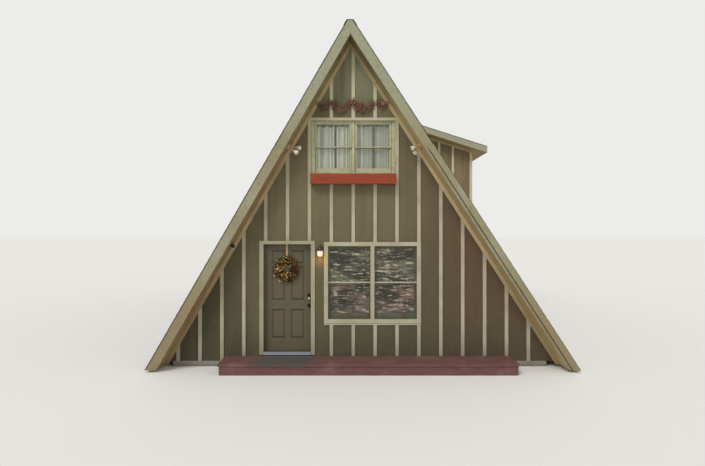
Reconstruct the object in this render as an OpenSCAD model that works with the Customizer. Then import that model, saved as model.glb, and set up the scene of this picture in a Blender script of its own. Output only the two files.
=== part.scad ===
// A-frame cabin with board-and-batten gable walls under two steep slopes that run down to the ground,
// and a full-height shed dormer on the right slope.
// X runs to the right along the front, Y to the back and Z up.
// The origin is on the ground, under the ridge, halfway between the two gable walls.

/* [Cabin] */
// Length between the outer faces of the two gable walls
cabin_len = 9754; // [8000:1:12000]
// Height of the ridge line, where the planes of the two slopes meet
ridge_h = 6330; // [6250:1:7700]
// Pitch of the left slope, in degrees
pitch_left = 60; // [59:0.5:61]
// Pitch of the right slope, in degrees
pitch_right = 57; // [56:0.5:59]
// How far below that line the ridge is cut off level
ridge_cut = 70; // [40:1:90]
// How far the roof runs out past each gable wall
overhang = 406; // [250:1:600]
// Thickness of the gable walls and the dormer walls
wall_t = 150; // [120:1:200]
// Thickness of the roof, from the underside of the rafters to the top of the sheathing
roof_t = 154; // [120:1:220]
// Height of the level cut at the foot of both slopes
eave_z = 40; // [20:1:80]

/* [Floors] */
// Height of the foundation strips
foundation_h = 100; // [60:1:160]
// Width of a foundation strip
foundation_w = 200; // [150:1:300]
// Height of the ground floor's surface
floor_top = 276; // [240:1:330]
// Height of the loft floor's surface
loft_top = 2800; // [2650:1:3000]
// Thickness of the loft floor
loft_t = 180; // [150:1:260]
// Length of the loft floor, from the front wall to the stair well at the back
loft_len = 7150; // [5600:1:7600]

/* [Roof trim] */
// Thickness of the rake boards and the other exterior boards
board_t = 19; // [15:1:25]
// Thickness of the soffit sheets
soffit_t = 10; // [6:1:14]
// Thickness of the shingles
shingle_t = 12; // [8:1:16]
// How far the shingles run past the rake boards and the foot of a slope
shingle_lap = 12; // [5:1:20]
// Width of the second rake board, which is lapped on the lower right rake
lapped_w = 110; // [80:1:140]
// Height of that second board's upper end
lapped_top = 4063; // [3000:1:4600]
// Width of the frieze boards, which close the corner of wall and soffit
frieze_w = 60; // [40:1:90]
// Length of each leg of the ridge cap, past the level cut
cap_leg = 110; // [80:1:150]
// Thickness of the ridge cap
cap_t = 8; // [5:1:12]

/* [Siding] */
// Distance between the centres of two battens
batten_pitch = 406.4; // [380:0.1:430]
// Width of a batten
batten_w = 64; // [50:1:75]
// Where the batten nearest the ridge stands, from the ridge line
batten_x0 = 60; // [50:1:70]
// Height of the joint between the lower and the upper siding sheets
seam_z = 2338; // [2335:1:2360]

/* [Dormer] */
// Pitch of the dormer's roof, in degrees
pitch_dormer = 17.7; // [15:0.1:21]
// How far below the ridge line the dormer's slope would meet the plane over the ridge
dormer_drop = 85; // [80:1:140]
// Distance from the front wall to the dormer's front cheek
dormer_start = 5280; // [4800:1:5400]
// Length of the dormer along the ridge
dormer_len = 3660; // [2500:1:3800]
// Distance from the ridge line to the outer face of the dormer's side wall
dormer_x = 3600; // [3300:1:3700]
// How far the dormer's eave runs past its side wall
dormer_eave = 350; // [250:1:420]

/* [Entry door] */
// Distance from the ridge line to the centre of the door
door_x = -1168; // [-1235:1:-1100]
// Width of the door
door_w = 914; // [760:1:940]
// Height of the door
door_h = 2006; // [1950:1:2010]
// Thickness of the door
door_t = 45; // [35:1:50]
// Clearance all round the door
door_gap = 5; // [5:0.5:7]
// Thickness of the jambs
jamb_t = 19; // [15:1:25]
// Width of the casing boards beside the door
casing_w = 74; // [60:1:85]
// Height of the casing board over the door
casing_head = 60; // [50:1:70]
// How far the casing laps over the edge of the door
casing_lap = 16; // [10:1:20]
// Height of the threshold
sill_t = 60; // [40:1:70]

/* [Big window] */
// Left edge of the wall opening
win_x0 = -409; // [-415:1:-350]
// Width of the wall opening
win_w = 1651; // [1300:1:1700]
// Sill of the wall opening
win_z0 = 877; // [700:1:1000]
// Height of the wall opening
win_h = 1358; // [1100:1:1380]
// Width of the casing boards round the window
win_casing = 75; // [60:1:80]
// Width of the casing board between the two units
win_mull = 72; // [60:1:100]
// Height of the strip under the window's casing
win_strip = 26; // [20:1:40]

/* [Upper window] */
// Sill of the wall opening
up_z0 = 3587; // [3450:1:3600]
// Height of the wall opening
up_h = 981; // [800:1:985]
// Width of the post between the two units
up_mull = 52; // [40:1:70]
// Height of the board over the window
up_head = 51; // [45:1:60]
// Height of the planter box under the window
box_h = 184; // [150:1:240]
// Depth of the planter box
box_d = 150; // [120:1:220]
// Width of the planter box
box_w = 1572; // [1400:1:1640]

/* [Window sashes] */
// Width of the upper windows' jambs
jamb_w = 68; // [40:1:80]
// Width of the big window's jambs
win_jamb = 18; // [15:1:30]
// Height of a window frame's head
head_w = 24; // [15:1:40]
// Width of the upper windows' stiles and top rails
stile_w = 38; // [30:1:60]
// Width of the big window's stiles and top rails
win_stile = 24; // [20:1:50]
// Height of a bottom rail
bottom_rail = 82; // [60:1:100]
// Height of the meeting rails
meet_rail = 26; // [20:1:40]
// Thickness of a sash
sash_t = 30; // [25:1:40]
// Thickness of the glass
glass_t = 5; // [4:1:8]

/* [Deck] */
// Height of the deck's surface
deck_h = 200; // [180:1:215]
// Left end of the deck
deck_x0 = -2300; // [-2400:1:-1750]
// Length of the deck
deck_len = 5250; // [4400:1:5300]
// Width of a deck board
deck_board = 140; // [120:1:150]
// Number of deck boards
deck_boards_n = 4; // [3:1:8]
// Gap between two deck boards
deck_gap = 5; // [3:1:8]
// Thickness of a deck board
deck_board_t = 38; // [25:1:45]

/* [Fittings] */
// Outer diameter of the wreath
wreath_d = 500; // [400:1:560]
// Diameter of the wreath's hole
wreath_hole = 160; // [120:1:220]
// Height of the wreath's centre
wreath_z = 1798; // [1700:1:1850]
// Distance from the ridge line to the wall lantern
lantern_x = -551; // [-575:1:-545]
// Height of the bottom of the wall lantern
lantern_z = 2048; // [1800:1:2060]
// Height of the left flood light's foot on the soffit
flood_z = 4050; // [3700:1:4300]
// Height of the right flood light's foot on the soffit
flood_right_z = 4075; // [3700:1:4300]
// Length of the swivel necks of the left flood light
flood_neck = 94; // [40:1:100]
// Width of the leaf ornament
vine_w = 1303; // [1100:1:1320]
// Height of the bottom of the leaf ornament
vine_z = 4673; // [4650:1:4700]

/* [Hidden] */
$fn = 48;
front_y = -cabin_len / 2;
rake_y = front_y - overhang;
rake_w = roof_t + soffit_t;
base_z = foundation_h;
seat = 0.3;
// Clearance between two pieces that meet along a slope, and the offsets from the roof that follow from it
fit = 0.05;
under_roof = -roof_t - fit;
under_soffit = -rake_w - fit;
frieze_off = under_soffit - frieze_w;
under_frieze = frieze_off - fit;
on_shingles = shingle_t + fit;
crown = ridge_h - ridge_cut;
split = 1;

dormer_y0 = front_y + dormer_start;
dormer_y1 = dormer_y0 + dormer_len;
eave_x = dormer_x + dormer_eave;

door_half = door_w / 2;
opening_half = door_half + door_gap + jamb_t;
door_z0 = floor_top + door_gap;
door_z1 = door_z0 + door_h;
opening_z1 = door_z1 + door_gap + jamb_t;
casing_half = door_half - casing_lap;
slab_y = front_y + wall_t - door_t;
hinge_r = 6;
hinge_x = door_x - door_half - door_gap / 2;
hinge_y = front_y + wall_t + hinge_r + 1;
knob_x = door_x + door_half - 60;
knob_z = 1116;
deadbolt_z = 1250;

win_x1 = win_x0 + win_w;
win_z1 = win_z0 + win_h;
strip_z0 = win_z0 - win_casing - 6 - win_strip;
up_x0 = batten_x0 - 2 * batten_pitch + batten_w / 2;
up_x1 = batten_x0 + 2 * batten_pitch - batten_w / 2;
up_z1 = up_z0 + up_h;
box_x0 = (up_x0 + up_x1) / 2 - box_w / 2;
box_z1 = up_z0 - 24;
box_z0 = box_z1 - box_h;
box_wall = 19;

deck_y1 = front_y - board_t - seat;
deck_depth = deck_boards_n * deck_board + (deck_boards_n - 1) * deck_gap;
deck_y0 = deck_y1 - deck_depth;
joist_t = 38;

// Side window of the dormer: one on each storey, in the middle of the side wall
side_w = 1300;
side_y0 = dormer_y0 + dormer_len / 2 - side_w / 2;
side_z0 = 1150;
side_h = 1000;
side_up_z0 = 3500;

siding_color = [0.43, 0.40, 0.30];
trim_color = [0.69, 0.66, 0.55];
rake_color = [0.56, 0.57, 0.45];
roof_color = [0.27, 0.25, 0.22];
deck_color = [0.47, 0.31, 0.28];

// Height and half-width of the two main slopes and the dormer's slope, each moved outwards by off
function left_z(x, off) = ridge_h + off / cos(pitch_left) + x * tan(pitch_left);
function right_z(x, off) = ridge_h + off / cos(pitch_right) - x * tan(pitch_right);
function dormer_z(x, off) = ridge_h - dormer_drop + off / cos(pitch_dormer) - x * tan(pitch_dormer);
function left_x(z, off) = -(ridge_h + off / cos(pitch_left) - z) / tan(pitch_left);
function right_x(z, off) = (ridge_h + off / cos(pitch_right) - z) / tan(pitch_right);
function under_z(x, off) = min(left_z(x, off), right_z(x, off));
// Where the dormer's slope, moved by off, runs into the main right slope, moved by main_off
function meet_x(off, main_off) = (dormer_drop + main_off / cos(pitch_right) - off / cos(pitch_dormer))
    / (tan(pitch_right) - tan(pitch_dormer));

// Outline of the gable wall above z0, under the roof moved by off
function gable_points(z0, off) = [[left_x(z0, off), z0], [right_x(z0, off), z0],
    [0, right_z(0, off)], [0, left_z(0, off)]];
// A level band between the undersides of the two main slopes, from z0 to z1
function floor_points(z0, z1) = [[left_x(z0, under_roof), z0], [right_x(z0, under_roof), z0],
    [right_x(z1, under_roof), z1], [left_x(z1, under_roof), z1]];
// The outer and the inner top corner of a strip along a slope, which stops at the level cut or at x
function left_top(off, x) = left_z(x, off) > crown ? [left_x(crown, off), crown] : [x, left_z(x, off)];
function right_top(off, x) = right_z(x, off) > crown ? [right_x(crown, off), crown] : [x, right_z(x, off)];
// A strip along a slope between two offsets, down to the level cut at foot; one that straddles the cut at
// the ridge has its corner there too
function left_strip(hi, lo, foot, x = 0) = concat(
    left_z(x, hi) > crown && left_z(x, lo) < crown ? [[x, crown]] : [],
    [left_top(hi, x), [left_x(foot, hi), foot], [left_x(foot, lo), foot], left_top(lo, x)]);
function right_strip(hi, lo, foot, x = 0) = concat(
    right_z(x, hi) > crown && right_z(x, lo) < crown ? [[x, crown]] : [],
    [right_top(hi, x), [right_x(foot, hi), foot], [right_x(foot, lo), foot], right_top(lo, x)]);
// A strip along the dormer's slope, from the main right slope, moved by main_off, to x1
function dormer_strip(hi, lo, main_off, x1) = [
    [meet_x(hi, main_off), dormer_z(meet_x(hi, main_off), hi)], [x1, dormer_z(x1, hi)],
    [x1, dormer_z(x1, lo)], [meet_x(lo, main_off), dormer_z(meet_x(lo, main_off), lo)]];

// Carries an outline drawn in X and Z along Y
module along(y0, y1) {
    translate([0, y1, 0]) rotate([90, 0, 0]) linear_extrude(y1 - y0) children();
}

module block(x0, x1, y0, y1, z0, z1) {
    translate([x0, y0, z0]) cube([x1 - x0, y1 - y0, z1 - z0]);
}

// Turns a piece drawn for the front, with its face at y = -dormer_x, onto the dormer's side wall
module on_side() {
    rotate([0, 0, 90]) children();
}

module both_ends() {
    children();
    mirror([0, 1, 0]) children();
}

module foundation() {
    // The strips stay behind the shingles on the left and reach under the dormer's side wall on the right
    set_back = 130;
    reach = 50;
    y0 = front_y;
    y1 = -front_y;
    x0 = left_x(base_z, under_roof) + set_back;
    x1 = dormer_x + reach;
    color([0.6, 0.59, 0.56]) {
        block(x0, x1, y0, y0 + foundation_w, 0, base_z);
        block(x0, x1, y1 - foundation_w, y1, 0, base_z);
        for (x = [x0, -foundation_w / 2, x1 - foundation_w])
            block(x, x + foundation_w, y0 + foundation_w + split, y1 - foundation_w - split, 0, base_z);
    }
}

module ground_floor() {
    color([0.62, 0.47, 0.32]) {
        difference() {
            along(front_y + wall_t, -front_y - wall_t)
                polygon(floor_points(base_z, floor_top));
            block(dormer_x - wall_t, right_x(base_z, 0), dormer_y0 + wall_t, dormer_y1 - wall_t,
                base_z - 1, floor_top + 1);
        }
        block(door_x - opening_half, door_x + opening_half, front_y, front_y + wall_t,
            base_z, floor_top - sill_t);
    }
}

module loft_floor() {
    z0 = loft_top - loft_t;
    y0 = front_y + wall_t;
    y1 = y0 + loft_len;
    color([0.62, 0.47, 0.32]) {
        along(y0, y1)
            polygon(floor_points(z0, loft_top));
        block(right_x(loft_top, under_roof) - split, dormer_x - wall_t, dormer_y0 + wall_t, y1,
            z0, loft_top);
    }
}

// The lower gable wall stands in separate panels beside the door and the big window
module front_wall_left() {
    color(siding_color) along(front_y, front_y + wall_t)
        polygon([[left_x(base_z, under_roof), base_z], [door_x - opening_half, base_z],
            [door_x - opening_half, seam_z], [left_x(seam_z, under_roof), seam_z]]);
}

module front_wall_mid() {
    color(siding_color)
        block(door_x + opening_half, win_x0, front_y, front_y + wall_t, base_z, seam_z);
}

module front_wall_under_window() {
    color(siding_color)
        block(win_x0, win_x1, front_y, front_y + wall_t, base_z, win_z0);
}

module front_wall_right() {
    color(siding_color) along(front_y, front_y + wall_t)
        polygon([[win_x1, base_z], [right_x(base_z, under_roof), base_z],
            [right_x(seam_z, under_roof), seam_z], [win_x1, seam_z]]);
}

module upper_window_hole() {
    block(up_x0, up_x1, front_y - 1, front_y + wall_t + 1, up_z0, up_z1);
}

module front_gable() {
    color(siding_color) difference() {
        union() {
            along(front_y, front_y + wall_t) polygon(gable_points(seam_z, under_roof));
            block(door_x - opening_half, door_x + opening_half, front_y, front_y + wall_t,
                opening_z1, seam_z);
            block(win_x0, win_x1, front_y, front_y + wall_t, win_z1, seam_z);
        }
        upper_window_hole();
    }
}

// The back repeats the front's windows, without the door
module back_wall() {
    color(siding_color) mirror([0, 1, 0]) difference() {
        along(front_y, front_y + wall_t)
            polygon(floor_points(base_z, seam_z));
        block(win_x0, win_x1, front_y - 1, front_y + wall_t + 1, win_z0, seam_z + 1);
    }
}

module back_gable() {
    color(siding_color) mirror([0, 1, 0]) difference() {
        union() {
            along(front_y, front_y + wall_t) polygon(gable_points(seam_z, under_roof));
            block(win_x0, win_x1, front_y, front_y + wall_t, win_z1, seam_z);
        }
        upper_window_hole();
    }
}

module roof_left() {
    color(roof_color) along(rake_y + board_t, -rake_y - board_t)
        polygon(left_strip(0, -roof_t, eave_z));
}

module roof_right() {
    color(roof_color) {
        along(rake_y + board_t, dormer_y0 + wall_t) polygon(right_strip(0, -roof_t, eave_z));
        along(dormer_y1 - wall_t, -rake_y - board_t) polygon(right_strip(0, -roof_t, eave_z));
    }
}

module ridge_beam() {
    half = 45;
    depth = 240;
    foot = under_z(-half, under_roof) - depth;
    color([0.66, 0.5, 0.33]) along(front_y + wall_t, -front_y - wall_t)
        polygon([[-half, foot], [half, foot], [half, right_z(half, under_roof)],
            [0, right_z(0, under_roof)], [0, left_z(0, under_roof)], [-half, left_z(-half, under_roof)]]);
}

// Between the cheeks the dormer's roof takes in the upper end of the main right slope and stands on a
// ledger on the ridge beam; past them it lies on that slope
module dormer_roof() {
    ledger = 45;
    bend = meet_x(0, 0);
    x1 = eave_x - board_t;
    color(roof_color) {
        along(dormer_y0 - overhang + board_t, dormer_y1 + overhang - board_t)
            polygon(dormer_strip(0, -roof_t, on_shingles, x1));
        along(dormer_y0 + wall_t, dormer_y1 - wall_t)
            polygon([[0, crown], [right_x(crown, 0), crown], [bend, dormer_z(bend, 0)],
                [x1, dormer_z(x1, 0)], [x1, dormer_z(x1, -roof_t)],
                [ledger, dormer_z(ledger, -roof_t)], [ledger, right_z(ledger, -roof_t)],
                [0, right_z(0, -roof_t)]]);
    }
}

module dormer_cheeks() {
    x0 = meet_x(under_roof, fit);
    inner = dormer_x - wall_t;
    color(siding_color) for (y = [dormer_y0, dormer_y1 - wall_t]) {
        along(y, y + wall_t)
            polygon([[x0, dormer_z(x0, under_roof)], [dormer_x, right_z(dormer_x, fit)],
                [dormer_x, dormer_z(dormer_x, under_roof)]]);
        along(y, y + wall_t)
            polygon([[inner, floor_top], [right_x(floor_top, under_roof), floor_top],
                [inner, right_z(inner, under_roof)]]);
    }
}

module dormer_side_wall() {
    x0 = dormer_x - wall_t;
    color(siding_color) difference() {
        along(dormer_y0 + wall_t, dormer_y1 - wall_t)
            polygon([[x0, base_z], [dormer_x, base_z], [dormer_x, dormer_z(dormer_x, under_roof)],
                [x0, dormer_z(x0, under_roof)]]);
        for (z = [side_z0, side_up_z0])
            block(x0 - 1, dormer_x + 1, side_y0, side_y0 + side_w, z, z + side_h);
    }
}

module shingles_left() {
    color(roof_color) along(rake_y - shingle_lap, -rake_y + shingle_lap)
        polygon(left_strip(shingle_t, fit, eave_z - shingle_lap));
}

// Over the dormer only a narrow strip is left between the level cut and the dormer's slope
module shingles_right() {
    outer = meet_x(fit, shingle_t);
    inner = meet_x(fit, fit);
    color(roof_color) {
        along(dormer_y0, dormer_y1)
            polygon([right_top(shingle_t, 0), [outer, right_z(outer, shingle_t)],
                [inner, right_z(inner, fit)], right_top(fit, 0)]);
        along(rake_y - shingle_lap, dormer_y0) polygon(right_strip(shingle_t, fit, eave_z - shingle_lap));
        along(dormer_y1, -rake_y + shingle_lap)
            polygon(right_strip(shingle_t, fit, eave_z - shingle_lap));
    }
}

module shingles_dormer() {
    color(roof_color)
        along(dormer_y0 - overhang - shingle_lap, dormer_y1 + overhang + shingle_lap)
            polygon(dormer_strip(shingle_t, fit, on_shingles, eave_x + shingle_lap));
}

// Strips folded over the level cut, which cover the joint of the shingles at the ridge
module ridge_cap() {
    hi = shingle_t + cap_t;
    z0 = crown + fit;
    z1 = crown + cap_t;
    y0 = dormer_y0 - overhang - shingle_lap;
    y1 = dormer_y1 + overhang + shingle_lap;
    xl = left_x(z0, on_shingles) - cap_leg * cos(pitch_left);
    xr = right_x(z0, on_shingles) + cap_leg * cos(pitch_right);
    xd = right_x(z0, on_shingles) + cap_leg * cos(pitch_dormer);
    valley = meet_x(on_shingles, on_shingles);
    top_valley = meet_x(hi, hi);
    left_leg = [[left_x(z1, hi), z1], [xl, left_z(xl, hi)], [xl, left_z(xl, on_shingles)],
        [left_x(z0, on_shingles), z0], [right_x(z0, on_shingles), z0]];
    color(roof_color * 0.9) {
        for (span = [[rake_y - shingle_lap, y0 - split], [y1 + split, -rake_y + shingle_lap]])
            along(span[0], span[1]) polygon(concat(left_leg,
                [[xr, right_z(xr, on_shingles)], [xr, right_z(xr, hi)], [right_x(z1, hi), z1]]));
        along(y0, y1) polygon(concat(left_leg,
            [[valley, dormer_z(valley, on_shingles)], [xd, dormer_z(xd, on_shingles)],
                [xd, dormer_z(xd, hi)], [top_valley, dormer_z(top_valley, hi)], [right_x(z1, hi), z1]]));
    }
}

module rake_pair() {
    along(rake_y, rake_y + board_t) {
        polygon(left_strip(0, -rake_w, eave_z, -split / 2));
        polygon(right_strip(0, -rake_w, eave_z, split / 2));
    }
}

module front_rake_boards() {
    color(rake_color) rake_pair();
}

module back_rake_boards() {
    color(rake_color) mirror([0, 1, 0]) rake_pair();
}

module lapped_rake_board() {
    top_x = right_x(lapped_top, 0);
    color(rake_color) along(rake_y - board_t, rake_y)
        polygon([[top_x, lapped_top], [right_x(eave_z, 0), eave_z],
            [right_x(eave_z, -lapped_w), eave_z],
            [top_x - lapped_w * sin(pitch_right), lapped_top - lapped_w * cos(pitch_right)]]);
}

// Rake boards and eave board of the dormer, and the boards that close the cut ends of the main slope
module dormer_fascia() {
    y0 = dormer_y0 - overhang;
    y1 = dormer_y1 + overhang;
    x1 = eave_x - board_t;
    end_x = dormer_x + board_t + split;
    color(rake_color) {
        for (y = [y0, y1 - board_t])
            along(y, y + board_t) polygon(dormer_strip(0, -rake_w, on_shingles, eave_x));
        along(y0 + board_t + split, y1 - board_t - split)
            polygon([[x1, dormer_z(x1, -rake_w)], [eave_x, dormer_z(eave_x, -rake_w)],
                [eave_x, dormer_z(eave_x, 0)], [x1, dormer_z(x1, 0)]]);
        for (y = [dormer_y0 + wall_t, dormer_y1 - wall_t - board_t])
            along(y, y + board_t)
                polygon([[end_x, right_z(end_x, 0)], [right_x(eave_z, 0), eave_z],
                    [right_x(eave_z, -roof_t), eave_z], [end_x, right_z(end_x, -roof_t)]]);
    }
}

module soffit_boards() {
    y0 = dormer_y0 - overhang + board_t;
    y1 = dormer_y1 + overhang - board_t;
    x1 = eave_x - board_t;
    color([0.44, 0.4, 0.27]) {
        both_ends() along(rake_y + board_t, front_y) {
            polygon(left_strip(under_roof, -rake_w, eave_z));
            polygon(right_strip(under_roof, -rake_w, eave_z));
        }
        along(y0, dormer_y0) polygon(dormer_strip(under_roof, -rake_w, on_shingles, x1));
        along(dormer_y1, y1) polygon(dormer_strip(under_roof, -rake_w, on_shingles, x1));
        along(dormer_y0, dormer_y1)
            polygon([[dormer_x, dormer_z(dormer_x, under_roof)], [x1, dormer_z(x1, under_roof)],
                [x1, dormer_z(x1, -rake_w)], [dormer_x, dormer_z(dormer_x, -rake_w)]]);
    }
}

module frieze_boards() {
    lo = frieze_off;
    color(trim_color) {
        both_ends() along(front_y - board_t, front_y) {
            polygon(left_strip(under_soffit, lo, eave_z));
            polygon(right_strip(under_soffit, lo, eave_z));
        }
        for (y = [dormer_y0 - board_t, dormer_y1])
            along(y, y + board_t) polygon(dormer_strip(under_soffit, lo, on_shingles, dormer_x));
        block(dormer_x, dormer_x + board_t, dormer_y0, dormer_y1,
            dormer_z(dormer_x, lo), dormer_z(dormer_x + board_t, under_soffit));
    }
}

// From the dormer's side wall to the first full batten of a cheek
cheek_first = 565;

// The clear stretches of one batten between the things it meets, listed from the ground up
function stretches(x, zones, top) = let (
    hits = [for (z = zones) if (x + batten_w / 2 > z[0] + 1 && x - batten_w / 2 < z[1] - 1) z],
    starts = concat([base_z], [for (h = hits) h[3]]),
    ends = concat([for (h = hits) h[2]], [top]))
    [for (i = [0:len(starts) - 1]) if (ends[i] - starts[i] > batten_w) [starts[i], ends[i]]];

module gable_battens(zones) {
    off = under_frieze;
    half = batten_w / 2;
    count = ceil(ridge_h / batten_pitch);
    for (k = [-count:count]) {
        x = batten_x0 + k * batten_pitch;
        top = min(under_z(x - half, off), under_z(x + half, off));
        for (s = stretches(x, zones, top))
            along(front_y - board_t, front_y)
                if (s[1] == top)
                    polygon([[x - half, s[0]], [x + half, s[0]], [x + half, under_z(x + half, off)],
                        [x - half, under_z(x - half, off)]]);
                else
                    polygon([[x - half, s[0]], [x + half, s[0]], [x + half, s[1]], [x - half, s[1]]]);
    }
}

window_zones = [
    [win_x0 - win_casing, win_x1 + win_casing, strip_z0, win_z1 + win_casing],
    [up_x0, up_x1, up_z0, up_z1 + up_head]];
door_zone = [door_x - casing_half - casing_w, door_x + casing_half + casing_w, 0,
    door_z1 - casing_lap + casing_head];

module front_battens() {
    color(trim_color) gable_battens(concat([door_zone], window_zones));
}

module back_battens() {
    color(trim_color) mirror([0, 1, 0]) gable_battens(window_zones);
}

module dormer_battens() {
    off = under_frieze;
    half = batten_w / 2;
    first = dormer_x - cheek_first;
    side_top = dormer_z(dormer_x, off);
    side_zones = [for (z = [side_z0, side_up_z0])
        [side_y0 - win_casing, side_y0 + side_w + win_casing, z - win_casing, z + side_h + win_casing]];
    mid_y = (dormer_y0 + dormer_y1) / 2;
    count = floor((dormer_len / 2 - batten_w * 2) / batten_pitch);
    color(trim_color) {
        for (y = [dormer_y0 - board_t, dormer_y1], k = [0:6]) {
            x = first - k * batten_pitch;
            if (dormer_z(x + half, off) > right_z(x - half, on_shingles) + batten_w)
                along(y, y + board_t)
                    polygon([[x - half, right_z(x - half, on_shingles)],
                        [x + half, right_z(x + half, on_shingles)], [x + half, dormer_z(x + half, off)],
                        [x - half, dormer_z(x - half, off)]]);
        }
        for (y = [dormer_y0 - board_t, dormer_y1])
            along(y, y + board_t)
                polygon([[dormer_x - batten_w, right_z(dormer_x - batten_w, on_shingles)],
                    [dormer_x, right_z(dormer_x, on_shingles)], [dormer_x, dormer_z(dormer_x, off)],
                    [dormer_x - batten_w, dormer_z(dormer_x - batten_w, off)]]);
        for (k = [-count:count], s = stretches(mid_y + k * batten_pitch, side_zones, side_top))
            block(dormer_x, dormer_x + board_t, mid_y + k * batten_pitch - half,
                mid_y + k * batten_pitch + half, s[0], s[1]);
        for (y = [dormer_y0, dormer_y1 - batten_w])
            block(dormer_x, dormer_x + board_t, y, y + batten_w, right_z(dormer_x, on_shingles), side_top);
    }
}

// Jambs and head, each with the stop that the door shuts against
module door_frame() {
    x0 = door_x - opening_half;
    x1 = door_x + opening_half;
    y1 = front_y + wall_t;
    stop_w = 35;
    stop_t = 12;
    stop_y1 = slab_y - door_gap;
    color(trim_color) difference() {
        block(x0, x1, front_y, y1, floor_top, opening_z1);
        block(x0 + jamb_t, x1 - jamb_t, front_y - 1, stop_y1 - stop_w, floor_top - 1, opening_z1 - jamb_t);
        block(x0 + jamb_t, x1 - jamb_t, stop_y1, y1 + 1, floor_top - 1, opening_z1 - jamb_t);
        block(x0 + jamb_t + stop_t, x1 - jamb_t - stop_t, front_y - 1, y1 + 1, floor_top - 1,
            opening_z1 - jamb_t - stop_t);
    }
}

module door_casing() {
    outer = casing_half + casing_w;
    z1 = door_z1 - casing_lap;
    color(trim_color) difference() {
        block(door_x - outer, door_x + outer, front_y - board_t, front_y,
            floor_top - sill_t, z1 + casing_head);
        block(door_x - casing_half, door_x + casing_half, front_y - board_t - 1, front_y + 1,
            floor_top - sill_t - 1, z1);
    }
}

module door_threshold() {
    nose = 12;
    color([0.6, 0.63, 0.66]) {
        block(door_x - opening_half, door_x + opening_half, front_y, front_y + wall_t,
            floor_top - sill_t, floor_top);
        block(door_x - casing_half + split, door_x + casing_half - split, front_y - board_t - nose, front_y,
            floor_top - sill_t, floor_top - 8);
    }
}

// Six raised panels: two small ones over two tall ones over two middling ones
module entry_door() {
    panel_w = 247;
    panel_gap = 110;
    rows = [[1905, 2152], [1222, 1856], [507, 1049]];
    recess = 9;
    field = 30;
    y1 = slab_y + door_t;
    color(siding_color * 0.85) difference() {
        block(door_x - door_half, door_x + door_half, slab_y, y1, door_z0, door_z1);
        for (side = [-1, 1], row = rows, face = [slab_y - 1, y1 - recess]) {
            x = door_x + side * (panel_w + panel_gap) / 2;
            difference() {
                block(x - panel_w / 2, x + panel_w / 2, face, face + recess + 1, row[0], row[1]);
                block(x - panel_w / 2 + field, x + panel_w / 2 - field, face - 1, face + recess + 2,
                    row[0] + field, row[1] - field);
            }
        }
    }
}

module turned(x, y, z) {
    translate([x, y, z]) rotate([90, 0, 0]) rotate_extrude() children();
}

// A knob on each face: rose, stem and a rounded grip
module door_knob() {
    grip = [[0, 0], [33, 0], [33, 6], [12, 12], [12, 30], [24, 36], [28, 46], [26, 56], [16, 64], [0, 66]];
    color([0.12, 0.1, 0.09]) {
        turned(knob_x, slab_y, knob_z) polygon(grip);
        mirror([0, 1, 0]) turned(knob_x, -slab_y - door_t, knob_z) polygon(grip);
    }
}

// Outside a long rose with the key cylinder in its lower half, inside a thumb turn
module door_deadbolt() {
    rose_r = 32;
    rose_h = 62;
    color([0.62, 0.6, 0.56]) {
        translate([knob_x, slab_y, deadbolt_z]) rotate([90, 0, 0]) linear_extrude(20) {
            for (z = [0, rose_h]) translate([0, z]) circle(r = rose_r);
            translate([-rose_r, 0]) square([2 * rose_r, rose_h]);
        }
        turned(knob_x, slab_y, deadbolt_z) polygon([[0, 0], [25, 0], [23, 28], [20, 31], [0, 31]]);
        mirror([0, 1, 0]) turned(knob_x, -slab_y - door_t, deadbolt_z)
            polygon([[0, 0], [30, 0], [28, 8], [10, 10], [10, 26], [0, 26]]);
    }
}

hinge_heights = [door_z0 + 220, (door_z0 + door_z1) / 2, door_z1 - 220];
knuckle = 32;
leaf = 2;

// Each hinge has three knuckles: the door carries the middle one, the jamb the other two
module door_hinges() {
    color([0.4, 0.38, 0.34]) for (z = hinge_heights) {
        translate([hinge_x, hinge_y, z - knuckle / 2]) cylinder(r = hinge_r, h = knuckle);
        block(hinge_x, hinge_x + 40, front_y + wall_t, front_y + wall_t + leaf, z - knuckle / 2,
            z + knuckle / 2);
    }
}

module frame_hinges() {
    color([0.4, 0.38, 0.34]) for (z = hinge_heights, side = [-1, 1]) {
        z0 = z + side * (knuckle + seat) - knuckle / 2;
        translate([hinge_x, hinge_y, z0]) cylinder(r = hinge_r, h = knuckle);
        block(hinge_x - 22, hinge_x, front_y + wall_t, front_y + wall_t + leaf, z0, z0 + knuckle);
    }
}

module door_wreath() {
    ring = (wreath_d + wreath_hole) / 4;
    half_w = (wreath_d - wreath_hole) / 4;
    half_t = 38;
    color([0.45, 0.32, 0.14]) translate([door_x - 20, slab_y - half_t - seat, wreath_z])
        rotate([90, 0, 0]) rotate_extrude()
            polygon([for (i = [0:11]) [ring + half_w * cos(i * 30), half_t * sin(i * 30)]]);
}

module wreath_ribbon() {
    strap = 39;
    color([0.75, 0.45, 0.25])
        block(door_x - 20 - strap / 2, door_x - 20 + strap / 2, slab_y - 2 - seat, slab_y - seat,
            wreath_z + wreath_d / 2 + seat, door_z1);
}

module casing_ring(x0, x1, z0, z1, w, face_y) {
    difference() {
        block(x0 - w, x1 + w, face_y - board_t, face_y, z0 - w, z1 + w);
        block(x0, x1, face_y - board_t - 1, face_y + 1, z0, z1);
    }
}

// The board over the upper window runs between the side battens, and its corners are cut to the frieze
upper_head = [for (p = [[-1, up_z1], [1, up_z1], [1, up_z1 + up_head], [-1, up_z1 + up_head]])
    [p[0] < 0 ? max(up_x0, left_x(p[1], under_frieze)) : min(up_x1, right_x(p[1], under_frieze)), p[1]]];

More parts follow.
